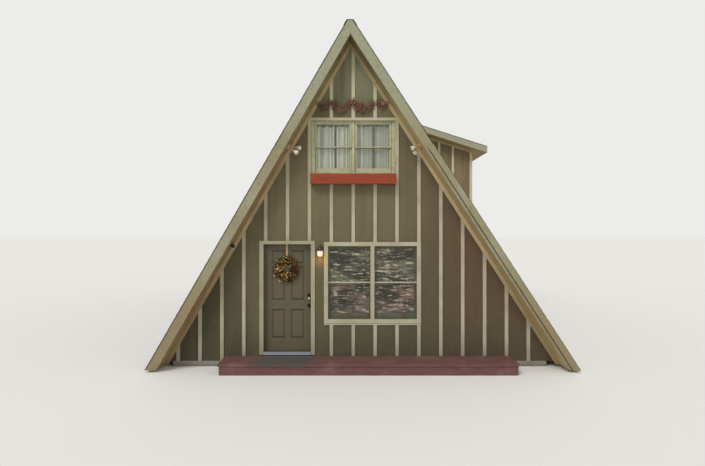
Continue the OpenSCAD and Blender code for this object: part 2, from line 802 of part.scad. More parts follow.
module window_casings() {
    mid = (win_x0 + win_x1) / 2;
    color(trim_color) {
        both_ends() {
            casing_ring(win_x0, win_x1, win_z0, win_z1, win_casing, front_y);
            block(mid - win_mull / 2, mid + win_mull / 2, front_y - board_t, front_y, win_z0, win_z1);
            block(win_x0 - win_casing, win_x1 + win_casing, front_y - board_t, front_y,
                strip_z0, strip_z0 + win_strip);
            along(front_y - board_t, front_y) polygon(upper_head);
        }
        on_side() for (z = [side_z0, side_up_z0])
            casing_ring(side_y0, side_y0 + side_w, z, z + side_h, win_casing, -dormer_x);
    }
}

// The frame's outer face lies this far behind the wall's, and the sashes follow behind a stop
reveal = 20;
sash_y = reveal + 15;
frame_d = sash_y + 2 * sash_t + 15;
sill_h = 20;

// One sash, or its pane; bottom and top are its rails' heights, and w is the stiles' width
module sash(x, z, y0, w, bottom, top, glass) {
    mid = y0 + sash_t / 2;
    if (glass)
        block(x[0] + w, x[1] - w, mid - glass_t / 2, mid + glass_t / 2, z[0] + bottom, z[1] - top);
    else
        difference() {
            block(x[0], x[1], y0, y0 + sash_t, z[0], z[1]);
            block(x[0] + w, x[1] - w, y0 - 1, y0 + sash_t + 1, z[0] + bottom, z[1] - top);
        }
}

// Two units beside a middle post; in each the upper sash stands in front of the lower one.
// x and z are the wall opening, and jamb and w the widths of the jambs and the stiles.
module window_pair(x, z, mull, jamb, w, face_y, glass) {
    mid = (x[0] + x[1]) / 2;
    z_mid = (z[0] + z[1]) / 2;
    out_y = face_y + sash_y;
    in_y = out_y + sash_t;
    units = [[x[0] + jamb, mid - mull / 2], [mid + mull / 2, x[1] - jamb]];
    if (!glass) difference() {
        block(x[0], x[1], face_y + reveal, face_y + frame_d, z[0], z[1]);
        for (u = units)
            block(u[0], u[1], face_y + reveal - 1, face_y + frame_d + 1, z[0] + sill_h, z[1] - head_w);
    }
    for (u = units) {
        sash(u, [z_mid - meet_rail / 2, z[1] - head_w], out_y, w, meet_rail, w, glass);
        sash(u, [z[0] + sill_h, z_mid + meet_rail / 2], in_y, w, bottom_rail, meet_rail, glass);
    }
}

module all_windows(glass) {
    both_ends() {
        window_pair([win_x0, win_x1], [win_z0, win_z1], win_mull, win_jamb, win_stile, front_y, glass);
        window_pair([up_x0, up_x1], [up_z0, up_z1], up_mull, jamb_w, stile_w, front_y, glass);
    }
    on_side() for (z = [side_z0, side_up_z0])
        window_pair([side_y0, side_y0 + side_w], [z, z + side_h], up_mull, jamb_w, stile_w, -dormer_x,
            glass);
}

module window_frames() {
    color(trim_color * 0.92) all_windows(false);
}

module window_glass() {
    color([0.5, 0.55, 0.55, 0.4]) all_windows(true);
}

rod_r = 6;
rod_y = front_y + frame_d + 20;
rod_z = up_z1 - 50;

module curtain_rods() {
    color([0.7, 0.68, 0.62])
        translate([up_x0 + seat, rod_y, rod_z]) rotate([0, 90, 0])
            cylinder(r = rod_r, h = up_x1 - up_x0 - 2 * seat);
}

// Where the two curtains of each unit part, as a share of the unit's width
curtain_parts = [0.57, 0.49];

// Two curtains to each unit, hung side by side under the rod
module upper_curtains() {
    slack = 25;
    gap = 18;
    hem = 30;
    unit = (up_x1 - up_x0) / 2;
    edges = [0, curtain_parts[0], 1, 1 + curtain_parts[1], 2];
    color([0.82, 0.82, 0.78]) for (i = [0:3])
        block(up_x0 + edges[i] * unit + gap, up_x0 + edges[i + 1] * unit - gap,
            rod_y - slack / 2, rod_y + slack / 2, up_z0 + hem, rod_z - rod_r - seat);
}

module planter_box() {
    y1 = front_y - board_t - seat;
    color([0.6, 0.26, 0.15]) difference() {
        block(box_x0, box_x0 + box_w, y1 - box_d, y1, box_z0, box_z1);
        block(box_x0 + box_wall, box_x0 + box_w - box_wall, y1 - box_d + box_wall, y1 - box_wall,
            box_z0 + box_wall, box_z1 + 1);
    }
}

// Height of the ornament's stem, which sags between the middle and the two scrolls; u runs from -1 to 1
function stem_z(u) = 150 + 25 * cos(u * 540) + 15 * u * u;
// Leaves of the ornament: place along the stem, angle, and size
vine_leaves = [[-0.9, -60, 70], [-0.78, -105, 100], [-0.64, 75, 90], [-0.58, -90, 120], [-0.42, 100, 100],
    [-0.38, -80, 125], [-0.22, 60, 105], [-0.18, -100, 115], [-0.04, 118, 115], [0.01, 82, 150],
    [0.08, 38, 115], [0.08, -80, 125], [0.28, -100, 135], [0.3, 95, 100], [0.46, -75, 110],
    [0.54, 85, 110], [0.64, -105, 120], [0.72, 60, 85], [0.86, -75, 85]];

// A leaf with five lobes on a short stalk that starts at the origin
module lobed_leaf(size) {
    stalk = 4;
    polygon(concat([[0, stalk], [0, -stalk], [size * 0.25, -stalk]],
        [for (a = [-156:12:156]) let (r = size * (0.3 + 0.1 * cos(5 * a) + 0.08 * cos(a)))
            [size / 2 + r * cos(a), r * sin(a)]],
        [[size * 0.25, stalk]]));
}

// The vine's curled end: a ring of the stem's width, with an eighth cut away from the angle given
module scroll(r, width, angle) {
    difference() {
        circle(r = r);
        circle(r = r - width);
        rotate(angle) polygon([[0, 0], [r, 0], [r, r]]);
    }
}

module vine_ornament() {
    plate = 5;
    stem = 7;
    n = 24;
    ring = 34;
    half = vine_w / 2 - ring - stem;
    steps = [for (i = [-n:n]) i / n];
    color([0.32, 0.16, 0.11]) along(front_y - board_t - seat - plate, front_y - board_t - seat)
        translate([(up_x0 + up_x1) / 2 - 14, vine_z]) {
            polygon(concat([for (u = steps) [u * half, stem_z(u) - stem]],
                [for (i = [2 * n:-1:0]) [steps[i] * half, stem_z(steps[i]) + stem]]));
            for (l = vine_leaves) translate([l[0] * half, stem_z(l[0])]) rotate(l[1]) lobed_leaf(l[2]);
            for (side = [-1, 1]) translate([side * (half + stem), stem_z(1) + ring - stem])
                scroll(ring, 2 * stem, side < 0 ? 270 : 180);
        }
}

flood_y = front_y - 190;
head_turn = 20;
head_z = 26;
right_neck = 40;
bell = 55;

// How far a head's shell reaches from its foot: the neck and the bell that holds the lamp
function head_len(side) = (side < 0 ? flood_neck : right_neck) + bell;

// Places a lamp on the soffit of one slope
module flood_at(side) {
    pitch = side < 0 ? pitch_left : pitch_right;
    z = side < 0 ? flood_z : flood_right_z;
    x = side < 0 ? left_x(z, -rake_w - seat) : right_x(z, -rake_w - seat);
    // Here Z runs straight out of the soffit
    translate([x, flood_y, z]) rotate([0, side < 0 ? 180 - pitch : 180 + pitch, 0]) children();
}

// One head points up along the soffit and back, the other straight out and forward
module both_heads() {
    for (s = [-1, 1])
        translate([s * 16, s * -14, head_z]) rotate([s * head_turn, s * 14 - 12, 0]) children();
}

// A round box on the soffit with two swivel heads that look down and away from it
module flood_lights() {
    color([0.62, 0.5, 0.4]) for (side = [-1, 1]) flood_at(side) {
        cylinder(r = 52, h = 34);
        both_heads() let (end = head_len(side)) rotate_extrude()
            polygon([[0, 0], [11, 0], [11, end - bell], [20, end - bell + 4], [27, end - bell + 20],
                [30, end], [0, end]]);
    }
}

module flood_lamps() {
    color([0.93, 0.92, 0.88]) for (side = [-1, 1]) flood_at(side)
        both_heads() let (end = head_len(side)) rotate_extrude()
            polygon([[0, end], [30, end], [36, end + 23], [45, end + 43], [45, end + 50], [34, end + 58],
                [0, end + 64]]);
}

module soffit_lamp() {
    z = 2262;
    neck = 45;
    color([0.16, 0.15, 0.14]) translate([left_x(z, -rake_w - seat), front_y - 200, z])
        rotate([0, 180 - pitch_left, 0]) {
            cylinder(r = 44, h = 14);
            cylinder(r = 26, h = neck);
            translate([0, 0, neck]) sphere(r = 34);
        }
}

lantern_y = front_y - 95;
jar_h = 104;

module wall_lantern() {
    z = lantern_z + jar_h + seat;
    color([0.1, 0.09, 0.09]) {
        translate([lantern_x, front_y, z + 30]) rotate([90, 0, 0]) cylinder(r = 52, h = 14);
        translate([lantern_x, front_y - 5, z + 30]) rotate([90, 0, 0]) cylinder(r = 11, h = 75);
        translate([lantern_x, lantern_y, z])
            rotate_extrude()
                polygon([[0, 0], [60, 0], [58, 22], [40, 52], [20, 76], [9, 84], [9, 112], [0, 120]]);
    }
}

module lantern_glass() {
    color([1, 0.9, 0.75]) translate([lantern_x, lantern_y, lantern_z])
        rotate_extrude() polygon([[0, 0], [34, 0], [46, 14], [54, jar_h * 0.6], [52, jar_h], [0, jar_h]]);
}

module deck_boards() {
    color(deck_color) for (i = [0:deck_boards_n - 1]) {
        y = deck_y1 - i * (deck_board + deck_gap);
        block(deck_x0, deck_x0 + deck_len, y - deck_board, y, deck_h - deck_board_t, deck_h);
    }
}

// Two long joists with short ones between them, all standing on the ground
module deck_frame() {
    z1 = deck_h - deck_board_t;
    inset = 20;
    x0 = deck_x0 + inset;
    x1 = deck_x0 + deck_len - inset;
    n = ceil((x1 - x0) / 600);
    step = (x1 - x0 - joist_t) / n;
    color(deck_color * 0.8) {
        for (y = [deck_y0 + inset, deck_y1 - inset - joist_t]) block(x0, x1, y, y + joist_t, 0, z1);
        for (i = [0:n])
            block(x0 + i * step, x0 + i * step + joist_t, deck_y0 + inset + joist_t + split,
                deck_y1 - inset - joist_t - split, 0, z1);
    }
}

foundation();
ground_floor();
loft_floor();
front_wall_left();
front_wall_mid();
front_wall_under_window();
front_wall_right();
front_gable();
back_wall();
back_gable();
roof_left();
roof_right();
ridge_beam();
dormer_roof();
dormer_cheeks();
dormer_side_wall();
shingles_left();
shingles_right();
shingles_dormer();
ridge_cap();
front_rake_boards();
lapped_rake_board();
back_rake_boards();
dormer_fascia();
soffit_boards();
frieze_boards();
front_battens();
back_battens();
dormer_battens();
door_frame();
door_casing();
door_threshold();
entry_door();
door_knob();
door_deadbolt();
door_hinges();
frame_hinges();
door_wreath();
wreath_ribbon();
window_casings();
window_frames();
window_glass();
upper_curtains();
curtain_rods();
planter_box();
vine_ornament();
flood_lights();
flood_lamps();
soffit_lamp();
wall_lantern();
lantern_glass();
deck_boards();
deck_frame();
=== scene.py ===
import math

import bpy
import numpy as np
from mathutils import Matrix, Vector


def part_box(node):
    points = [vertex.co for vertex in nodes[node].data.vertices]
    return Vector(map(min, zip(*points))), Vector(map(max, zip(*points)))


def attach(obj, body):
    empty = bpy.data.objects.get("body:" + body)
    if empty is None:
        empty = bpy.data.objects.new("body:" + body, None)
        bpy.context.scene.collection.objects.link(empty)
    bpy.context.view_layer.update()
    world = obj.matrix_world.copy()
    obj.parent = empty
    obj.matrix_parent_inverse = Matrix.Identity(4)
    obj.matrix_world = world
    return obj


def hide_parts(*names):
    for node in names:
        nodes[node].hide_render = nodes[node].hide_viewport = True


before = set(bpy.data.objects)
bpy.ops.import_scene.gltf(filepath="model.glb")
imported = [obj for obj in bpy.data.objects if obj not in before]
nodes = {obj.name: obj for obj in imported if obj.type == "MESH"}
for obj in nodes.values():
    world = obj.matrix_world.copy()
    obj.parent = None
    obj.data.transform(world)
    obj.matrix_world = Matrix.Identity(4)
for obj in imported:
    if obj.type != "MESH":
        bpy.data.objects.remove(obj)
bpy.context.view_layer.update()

# Camera and studio
# The photograph was taken level, from 2.28 m above the deck and 8.74 m in front of the wall,
# with a 24 mm lens on a 36 mm sensor. A wide pale floor keeps the cabin's shadow.
DECK_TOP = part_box("deck_boards")[1].z
FRONT_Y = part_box("front_gable")[0].y
EYE_X, EYE_DISTANCE, EYE_HEIGHT = 0.046, 8.74, 2.278
camera_data = bpy.data.cameras.new("camera")
camera_data.sensor_width = 36.0
camera_data.lens = 24.0
camera_data.clip_end = 500.0
camera = bpy.data.objects.new("camera", camera_data)
camera.location = (EYE_X, FRONT_Y - EYE_DISTANCE, DECK_TOP + EYE_HEIGHT)
camera.rotation_euler = (math.radians(90.0), 0.0, 0.0)
bpy.context.scene.collection.objects.link(camera)
bpy.context.scene.camera = camera
bpy.context.scene.view_settings.view_transform = "Standard"


def linear(red, green, blue):
    """A colour given as 0 to 255 on screen, as the linear values that a shader takes."""
    channel = np.array([red, green, blue]) / 255.0
    low, high = channel / 12.92, ((channel + 0.055) / 1.055) ** 2.4
    return (*np.where(channel <= 0.04045, low, high).tolist(), 1.0)


def operator(operation, swapped=False):
    """An operator that adds one Math node; swapped is its reflected form."""
    return lambda self, other: self.finish.math(operation, *((other, self) if swapped else (self, other)))


class Wire:
    """A node's output that takes part in arithmetic: each operator adds one Math node behind it."""

    def __init__(self, finish, socket):
        self.finish = finish
        self.socket = socket

    __add__, __radd__ = operator("ADD"), operator("ADD")
    __mul__, __rmul__ = operator("MULTIPLY"), operator("MULTIPLY")
    __sub__, __rsub__ = operator("SUBTRACT"), operator("SUBTRACT", True)
    __truediv__, __rtruediv__ = operator("DIVIDE"), operator("DIVIDE", True)
    __pow__, __rpow__ = operator("POWER"), operator("POWER", True)

    def off(self, middle):
        """How far the value is from middle, to either side."""
        return self.finish.math("ABSOLUTE", self - middle)

    def step(self, low, high):
        """Rises smoothly from 0 at low to 1 at high; falls when low is the larger."""
        settings = {"interpolation_type": "SMOOTHSTEP"}
        return self.finish.node("ShaderNodeMapRange", settings, {0: self, 1: low, 2: high})


class Finish:
    """A material under construction: node() adds a node, and the other methods name the common ones."""

    def __init__(self, name, **surface):
        self.material = bpy.data.materials.new(name)
        self.material.use_nodes = True
        self.tree = self.material.node_tree
        self.shader = self.tree.nodes["Principled BSDF"]
        for key, value in surface.items():
            self.shader.inputs[key.replace("_", " ").title()].default_value = value
        self.place = self.node("ShaderNodeTexCoord", output="Object")

    def node(self, kind, settings=None, inputs=None, output=0):
        made = self.tree.nodes.new(kind)
        for key, value in (settings or {}).items():
            setattr(made, key, value)
        for key, value in (inputs or {}).items():
            if isinstance(value, Wire):
                self.tree.links.new(value.socket, made.inputs[key])
            else:
                made.inputs[key].default_value = value
        return Wire(self, made.outputs[output])

    def math(self, operation, first, second=0.0):
        """One Math node; an operation of a single value, such as FLOOR, leaves second unused."""
        return self.node("ShaderNodeMath", {"operation": operation}, {0: first, 1: second})

    def noise(self, scale, detail=3.0, rough=0.55, stretch=None):
        """Noise over the object's coordinates; a grain multiplies them by stretch first."""
        place = self.place
        if stretch:
            place = self.node("ShaderNodeVectorMath", {"operation": "MULTIPLY"}, {0: place, 1: stretch})
        inputs = {"Vector": place, "Scale": scale, "Detail": detail, "Roughness": rough}
        return self.node("ShaderNodeTexNoise", None, inputs)

    def axis(self, letter):
        return self.node("ShaderNodeSeparateXYZ", None, {0: self.place}, letter)

    def tone(self):
        """The number that mesh_piece stores at each point."""
        return self.node("ShaderNodeAttribute", {"attribute_name": "tone"}, None, "Fac")

    def blend(self, factor, first, second):
        """Mixes two colours, each a wire or red, green and blue from 0 to 255 on screen."""
        first, second = (each if isinstance(each, Wire) else linear(*each) for each in (first, second))
        return self.node("ShaderNodeMix", {"data_type": "RGBA"}, {0: factor, 6: first, 7: second}, 2)

    def coats(self, colour, *layers):
        """Paints layers, each a factor and a colour, over the first colour in turn."""
        for factor, layer in layers:
            colour = self.blend(factor, colour, layer)
        return colour

    def feed(self, **links):
        for key, wire in links.items():
            self.tree.links.new(wire.socket, self.shader.inputs[key.replace("_", " ").title()])
        return self

    def paint(self, factor, first, second, *layers):
        """Base colour: two colours mixed, then coats over them."""
        return self.feed(base_color=self.coats(self.blend(factor, first, second), *layers))

    def bump(self, height, depth, strength):
        """Raises the surface by height times depth, in metres."""
        inputs = {"Strength": strength, "Distance": depth, "Height": height}
        return self.feed(normal=self.node("ShaderNodeBump", None, inputs, "Normal"))

    def cover(self, *names):
        for name in names:
            nodes[name].data.materials.clear()
            nodes[name].data.materials.append(self.material)
        return self


def mesh_piece(name, vertices, quads, finish, smooth=False, tone=None):
    """An object at the origin from an (n, 3) array of points and an (m, 4) array of corners;
    tone, one number a point, becomes an attribute that the material may read."""
    mesh = bpy.data.meshes.new(name)
    mesh.vertices.add(len(vertices))
    mesh.vertices.foreach_set("co", np.asarray(vertices, np.float32).ravel())
    mesh.loops.add(len(quads) * 4)
    mesh.loops.foreach_set("vertex_index", np.asarray(quads, np.int32).ravel())
    mesh.polygons.add(len(quads))
    mesh.polygons.foreach_set("loop_start", np.arange(0, len(quads) * 4, 4, dtype=np.int32))
    mesh.polygons.foreach_set("use_smooth", np.full(len(quads), smooth))
    mesh.update(calc_edges=True)
    mesh.validate()
    if tone is not None:
        layer = mesh.attributes.new("tone", "FLOAT", "POINT")
        layer.data.foreach_set("value", np.asarray(tone, np.float32))
    mesh.materials.append(finish.material)
    piece = bpy.data.objects.new(name, mesh)
    bpy.context.scene.collection.objects.link(piece)
    return piece


REACH = 260.0
studio = Finish("studio_floor", base_color=linear(226, 224, 220), roughness=0.9)
studio_floor = mesh_piece(
    "studio_floor",
    [(-REACH, -REACH, 0.0), (REACH, -REACH, 0.0), (REACH, REACH, 0.0), (-REACH, REACH, 0.0)],
    [(0, 1, 2, 3)],
    studio,
)

# The camera, mirrors and panes see a pale backdrop; everything else gets a softer light.
world = bpy.data.worlds.new("studio")
bpy.context.scene.world = world
world.use_nodes = True
world_nodes, world_links = world.node_tree.nodes, world.node_tree.links
soft_light = world_nodes["Background"]
soft_light.inputs["Color"].default_value = (1.0, 0.985, 0.96, 1.0)
soft_light.inputs["Strength"].default_value = 0.62
pale = world_nodes.new("ShaderNodeBackground")
pale.inputs["Color"].default_value = linear(236, 236, 234)
rays = world_nodes.new("ShaderNodeLightPath")
seen = rays.outputs["Is Camera Ray"]
for kind in ("Is Glossy Ray", "Is Transmission Ray"):
    either = world_nodes.new("ShaderNodeMath")
    either.operation = "MAXIMUM"
    world_links.new(seen, either.inputs[0])
    world_links.new(rays.outputs[kind], either.inputs[1])
    seen = either.outputs[0]
backdrop = world_nodes.new("ShaderNodeMixShader")
for source, socket in zip((seen, soft_light.outputs[0], pale.outputs[0]), backdrop.inputs):
    world_links.new(source, socket)
world_links.new(backdrop.outputs[0], world_nodes["World Output"].inputs["Surface"])


def soft_sun(name, energy, softness, towards):
    """A distant lamp of an angular size given in degrees, shining along towards."""
    data = bpy.data.lights.new(name, "SUN")
    data.energy = energy
    data.angle = math.radians(softness)
    lamp = bpy.data.objects.new(name, data)
    lamp.rotation_euler = Vector(towards).to_track_quat("-Z", "Y").to_euler()
    bpy.context.scene.collection.objects.link(lamp)


soft_sun("key", 1.7, 28.0, (0.45, 0.75, -0.95))
soft_sun("fill", 0.35, 60.0, (-0.9, 0.3, -0.4))

# Foundation
# Five low strips of poured concrete that carry the floor and the walls.
# Pores and splash dirt stay on them.
concrete = Finish("poured_concrete", roughness=0.9)
pores = concrete.noise(55.0, 6.0, 0.7)
patches = concrete.noise(2.2, 4.0)
splash = concrete.axis("Z").step(0.1, 0.0) * patches
cement = concrete.blend(patches, (150, 147, 138), (118, 115, 106))
concrete.paint(splash * 0.8, cement, (74, 64, 50))
concrete.bump(pores + patches * 0.6, 0.003, 0.5)
concrete.cover("foundation")

# Floors and ridge beam
# Tongue-and-groove pine on joists, laid along the cabin, and a laminated beam under the ridge.
# They show only through the windows and the open door; the boards' outer ends are painted dark, a
# painted shade where they run in under the walls and the threshold.
BOARD = 0.13
BACK_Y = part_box("back_gable")[1].y
pine = Finish("pine_boards", roughness=0.45)
groove = pine.math("PINGPONG", pine.axis("X"), BOARD / 2).step(0.0, 0.003)
plank_tone = pine.noise(1.0, 0.0, stretch=(1 / BOARD, 0.12, 1.0))
rings = pine.noise(9.0, 5.0, 0.6, (7.0, 0.7, 7.0))
outer_y = pine.axis("Y").off((FRONT_Y + BACK_Y) / 2)
# painted shade: the boards' outer ends, under the walls and the threshold, go dark
end_shade = outer_y.step((BACK_Y - FRONT_Y) / 2 - 0.06, (BACK_Y - FRONT_Y) / 2 - 0.03)
boards = pine.coats(
    pine.blend(rings, (188, 146, 98), (150, 104, 60)),
    (plank_tone * 0.5, (168, 116, 66)),
    (end_shade, (46, 38, 28)),
)
pine.paint(groove, (60, 38, 20), boards)
pine.bump(groove + rings * 0.15, 0.002, 0.6)
pine.cover("ground_floor", "loft_floor", "ridge_beam")

# Walls
# Framed walls sheathed in exterior plywood, painted olive brown; the battens cover its joints.
# Each sheet has its own tone, and rain and mud stain them. The low ones are greener, and painted shade
# makes the right-hand ones browner and darkens the lower half and the far left. The apex and the dormer
# walls are painted lighter, a painted light for the shade they stand in.
SHEET = 1.2192
SEAM_Z = 2.338
siding = Finish("olive_siding_paint")
side, back, height = siding.axis("X"), siding.axis("Y"), siding.axis("Z")
sheet_number = (
    siding.math("FLOOR", side / SHEET) + siding.math("FLOOR", back / SHEET) * 5.0
    + height.step(SEAM_Z + 0.002, SEAM_Z - 0.002) * 17.0
)
sheet_tone = siding.node("ShaderNodeTexWhiteNoise", {"noise_dimensions": "1D"}, {"W": sheet_number})
veneer = siding.noise(3.0, 6.0, 0.62, (26.0, 26.0, 1.1))
streaks = siding.noise(0.9, 3.0, 0.5, (9.0, 9.0, 0.35))
cloud = siding.noise(0.8, 4.0, 0.55)
checks = siding.noise(4.0, 2.0, 0.5, (60.0, 60.0, 2.0)).step(0.62, 0.72)
muddy = height.step(0.95, 0.1) * siding.noise(5.0, 5.0, 0.7).step(0.3, 0.7)
ruddy = side.step(1.6, 2.1) * height.step(0.5, 1.1) * height.step(3.0, 2.2)
under_window = height.step(0.95, 0.6) * side.step(-0.6, -0.4) * side.step(1.5, 1.2)
dormer = back.step(-1.0, 0.0) * back.step(4.6, 4.3) * side.step(1.0, 1.2)
siding.paint(
    cloud.step(0.3, 0.7), (110, 102, 70), (99, 91, 62),
    (sheet_tone * 0.3, (98, 90, 66)),
    # painted light: the apex lighter
    (height.step(4.7, 5.5) * 0.75, (142, 142, 112)),
    # painted shade: the right-hand sheets browner and the far left darker
    (side.step(0.5, 2.0) * (cloud * 0.5 + 0.65), (87, 68, 47)),
    (side.step(-1.5, -2.9) * 0.9, (52, 52, 24)),
    (ruddy * 0.35, (116, 70, 46)),
    (under_window * 0.4, (64, 76, 50)),
    (side.step(-1.7, -2.0) * height.step(1.7, 0.7) * 0.6, (48, 56, 28)),
    (side.step(-2.76, -2.82) * 0.65, (80, 54, 38)),
    # painted shade: the lower half darker
    (height.step(SEAM_Z + 0.9, SEAM_Z - 1.1) * 0.5, (64, 58, 34)),
    # painted light: the dormer walls lighter, their front most
    (dormer * (back.step(0.5, 0.46) * 0.45 + 0.55) * 0.85, (136, 120, 88)),
    (streaks.step(0.45, 0.75) * 0.45, (80, 73, 53)),
    (veneer.step(0.5, 0.8) * 0.35, (126, 119, 90)),
    (checks * 0.3, (66, 58, 42)),
    (muddy * 0.6, (62, 56, 42)),
    (height.off(SEAM_Z).step(0.004, 0.002) * 0.3, (44, 38, 28)),
)
siding.feed(roughness=veneer * 0.2 + 0.6)
siding.bump(veneer * 0.6 - checks * 0.5, 0.0015, 0.7)
siding.cover(
    "front_wall_left", "front_wall_mid", "front_wall_under_window", "front_wall_right", "front_gable",
    "back_wall", "back_gable", "dormer_cheeks", "dormer_side_wall",
)

# Roof frame
# Rafters and sheathing of the three slopes; their undersides are the rooms' sloping ceilings,
# lined with pale pine boards. The ends that stand out beside the dormer are painted.
lining = Finish("ceiling_lining", roughness=0.6)
lining_grain = lining.noise(6.0, 5.0, 0.6, (9.0, 0.6, 9.0))
DORMER_WALL_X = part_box("dormer_side_wall")[1].x
tail = lining.axis("X").step(DORMER_WALL_X - 0.005, DORMER_WALL_X + 0.005)
boarding = lining.blend(lining_grain, (176, 138, 94), (142, 104, 64))
tail_paint = lining.blend(lining_grain, (140, 130, 98), (116, 106, 78))
lining.paint(tail, boarding, tail_paint)
lining.bump(lining_grain, 0.001, 0.5)
lining.cover("roof_left", "roof_right", "dormer_roof")

# Shingles
# Three-tab asphalt shingles, nailed in courses from the eave up; each tab lies on the course below,
# so every course steps up at its butt. Mineral granules give each tab its own tone.
TAB_WIDTH = 0.305
EXPOSURE = 0.14
TAB_THICK = 0.005
TAB_GAP = 0.0025
TAB_REST = 0.0008
BUTT_LIFT = 0.0055
LEAST_COURSE = 0.02
LEAST_TAB = 0.03
RIDGE_SETBACK = 0.006
EAVE_SETBACK = 0.012
rng = np.random.default_rng(7)
PITCH_LEFT = math.radians(60.0)
PITCH_RIGHT = math.radians(57.0)
PITCH_DORMER = math.radians(17.7)
RIDGE_Z = 6.33
CROWN_Z = 6.26
DORMER_APEX_Z = 6.245
DORMER_START_X = 0.09

granules = Finish("shingle_granules", roughness=0.95)
grit = granules.noise(420.0, 2.0, 0.8)
weather = granules.noise(1.3, 4.0, 0.6)
washed = granules.noise(1.0, 4.0, 0.6, (0.5, 3.2, 0.5))
gable_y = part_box("shingles_left")[0].y
granules.paint(
    granules.tone(), (96, 86, 75), (62, 57, 51),
    (grit.step(0.52, 0.7) * 0.4, (128, 118, 104)),
    (weather.step(0.45, 0.75) * 0.5, (64, 66, 46)),
    (washed.step(0.5, 0.7) * 0.4, (112, 104, 92)),
    (granules.axis("Y").step(gable_y + 0.014, gable_y + 0.006) * 0.85, (30, 31, 26)),
)
granules.bump(grit, 0.0012, 0.7)


def bars(corner, edge_a, edge_b, edge_c):
    """Closed six-sided bars: each has a corner and three edge vectors, all (n, 3) arrays.
    Point (i, j, k) of a bar is corner + i a + j b + k c for i, j, k of 0 or 1."""
    corner, edge_a, edge_b, edge_c = np.broadcast_arrays(corner, edge_a, edge_b, edge_c)
    steps = np.array([(i, j, k) for k in (0, 1) for j in (0, 1) for i in (0, 1)], float)
    edges = np.stack([edge_a, edge_b, edge_c], axis=1)
    points = corner[:, None, :] + np.einsum("si,nix->nsx", steps, edges)
    faces = np.array([(0, 2, 3, 1), (4, 5, 7, 6), (0, 1, 5, 4), (2, 6, 7, 3), (0, 4, 6, 2), (1, 3, 7, 5)])
    turned = np.einsum("nx,nx->n", np.cross(edge_a, edge_b), edge_c) < 0
    all_faces = np.where(turned[:, None, None], faces[None, :, ::-1], faces[None])
    quads = all_faces + 8 * np.arange(len(points))[:, None, None]
    return points.reshape(-1, 3), quads.reshape(-1, 4)


def joined(parts):
    """One pair of points and quads from several pairs."""
    offsets = np.cumsum([0] + [len(points) for points, _ in parts[:-1]])
    quads = [quads + offset for (_, quads), offset in zip(parts, offsets)]
    return np.concatenate([points for points, _ in parts]), np.concatenate(quads)


def courses(first_distance, slope_length, y_start, y_end):
    """Tab places on one slope: distance of the butt from the apex, and the tab's two ends in Y."""
    butt, left, right = [], [], []
    for k in range(math.ceil((slope_length - first_distance - LEAST_COURSE) / EXPOSURE)):
        distance = slope_length - k * EXPOSURE
        first = y_start - (k % 2) * TAB_WIDTH / 2
        edges = np.append(np.arange(first, y_end, TAB_WIDTH), y_end)
        low, high = np.maximum(edges[:-1], y_start), edges[1:]
        keep = high - low > LEAST_TAB
        left.append(low[keep])
        right.append(high[keep])
        butt.append(np.full(keep.sum(), distance))
    return np.concatenate(butt), np.concatenate(left), np.concatenate(right)


def shingle_field(side, pitch, apex_z, first_distance, slope_length, spans):
    """Tabs of one slope; side is -1 for the left and 1 for the right. A tab runs up the slope for two
    exposures under the course above, or to first_distance from the apex, and its butt lies higher than
    its top by its own thickness."""
    down = np.array([side * math.cos(pitch), 0.0, -math.sin(pitch)])
    out = np.array([side * math.sin(pitch), 0.0, math.cos(pitch)])
    along = np.array([0.0, 1.0, 0.0])
    parts, tones = [], []
    for y_start, y_end in spans:
        butt, low, high = courses(first_distance, slope_length, y_start, y_end)
        count = len(butt)
        butt = np.minimum(butt + rng.uniform(-0.003, 0.003, count), slope_length)
        length = np.minimum(2 * EXPOSURE, butt - first_distance)
        corner = np.array([0.0, 0.0, apex_z]) + down * (butt - length)[:, None] + out * TAB_REST
        corner = corner + along * (low + TAB_GAP)[:, None]
        edge_a = along * (high - low - 2 * TAB_GAP)[:, None]
        edge_b = down * length[:, None] + out * (BUTT_LIFT * length / (2 * EXPOSURE))[:, None]
        edge_c = out * (TAB_THICK + rng.uniform(-0.0006, 0.0006, count))[:, None]
        parts.append(bars(corner, edge_a, edge_b, edge_c))
        tones.append(np.repeat(rng.beta(1.2, 1.6, count), 8))
    return *joined(parts), np.concatenate(tones)


left_low, left_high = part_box("shingles_left")
right_low, right_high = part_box("shingles_right")
dormer_low, dormer_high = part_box("shingles_dormer")
cheek_low, cheek_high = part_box("dormer_cheeks")
slopes = [
    ("shingles_left", -1, PITCH_LEFT, RIDGE_Z, (RIDGE_Z - CROWN_Z) / math.sin(PITCH_LEFT) + RIDGE_SETBACK,
     (RIDGE_Z - left_low.z - EAVE_SETBACK) / math.sin(PITCH_LEFT), [(left_low.y, left_high.y)]),
    ("shingles_right", 1, PITCH_RIGHT, RIDGE_Z, (RIDGE_Z - CROWN_Z) / math.sin(PITCH_RIGHT) + RIDGE_SETBACK,
     (RIDGE_Z - right_low.z - EAVE_SETBACK) / math.sin(PITCH_RIGHT),
     [(right_low.y, cheek_low.y), (cheek_high.y, right_high.y)]),
    ("shingles_dormer", 1, PITCH_DORMER, DORMER_APEX_Z, DORMER_START_X / math.cos(PITCH_DORMER),
     (dormer_high.x - 0.004) / math.cos(PITCH_DORMER), [(dormer_low.y, dormer_high.y)]),
]
for node, hand, pitch, apex_z, first_distance, slope_length, spans in slopes:
    points, quads, tone = shingle_field(hand, pitch, apex_z, first_distance, slope_length, spans)
    piece = mesh_piece(node + "_tabs", points, quads, granules, tone=tone)
    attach(piece, "house")
    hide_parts(node)

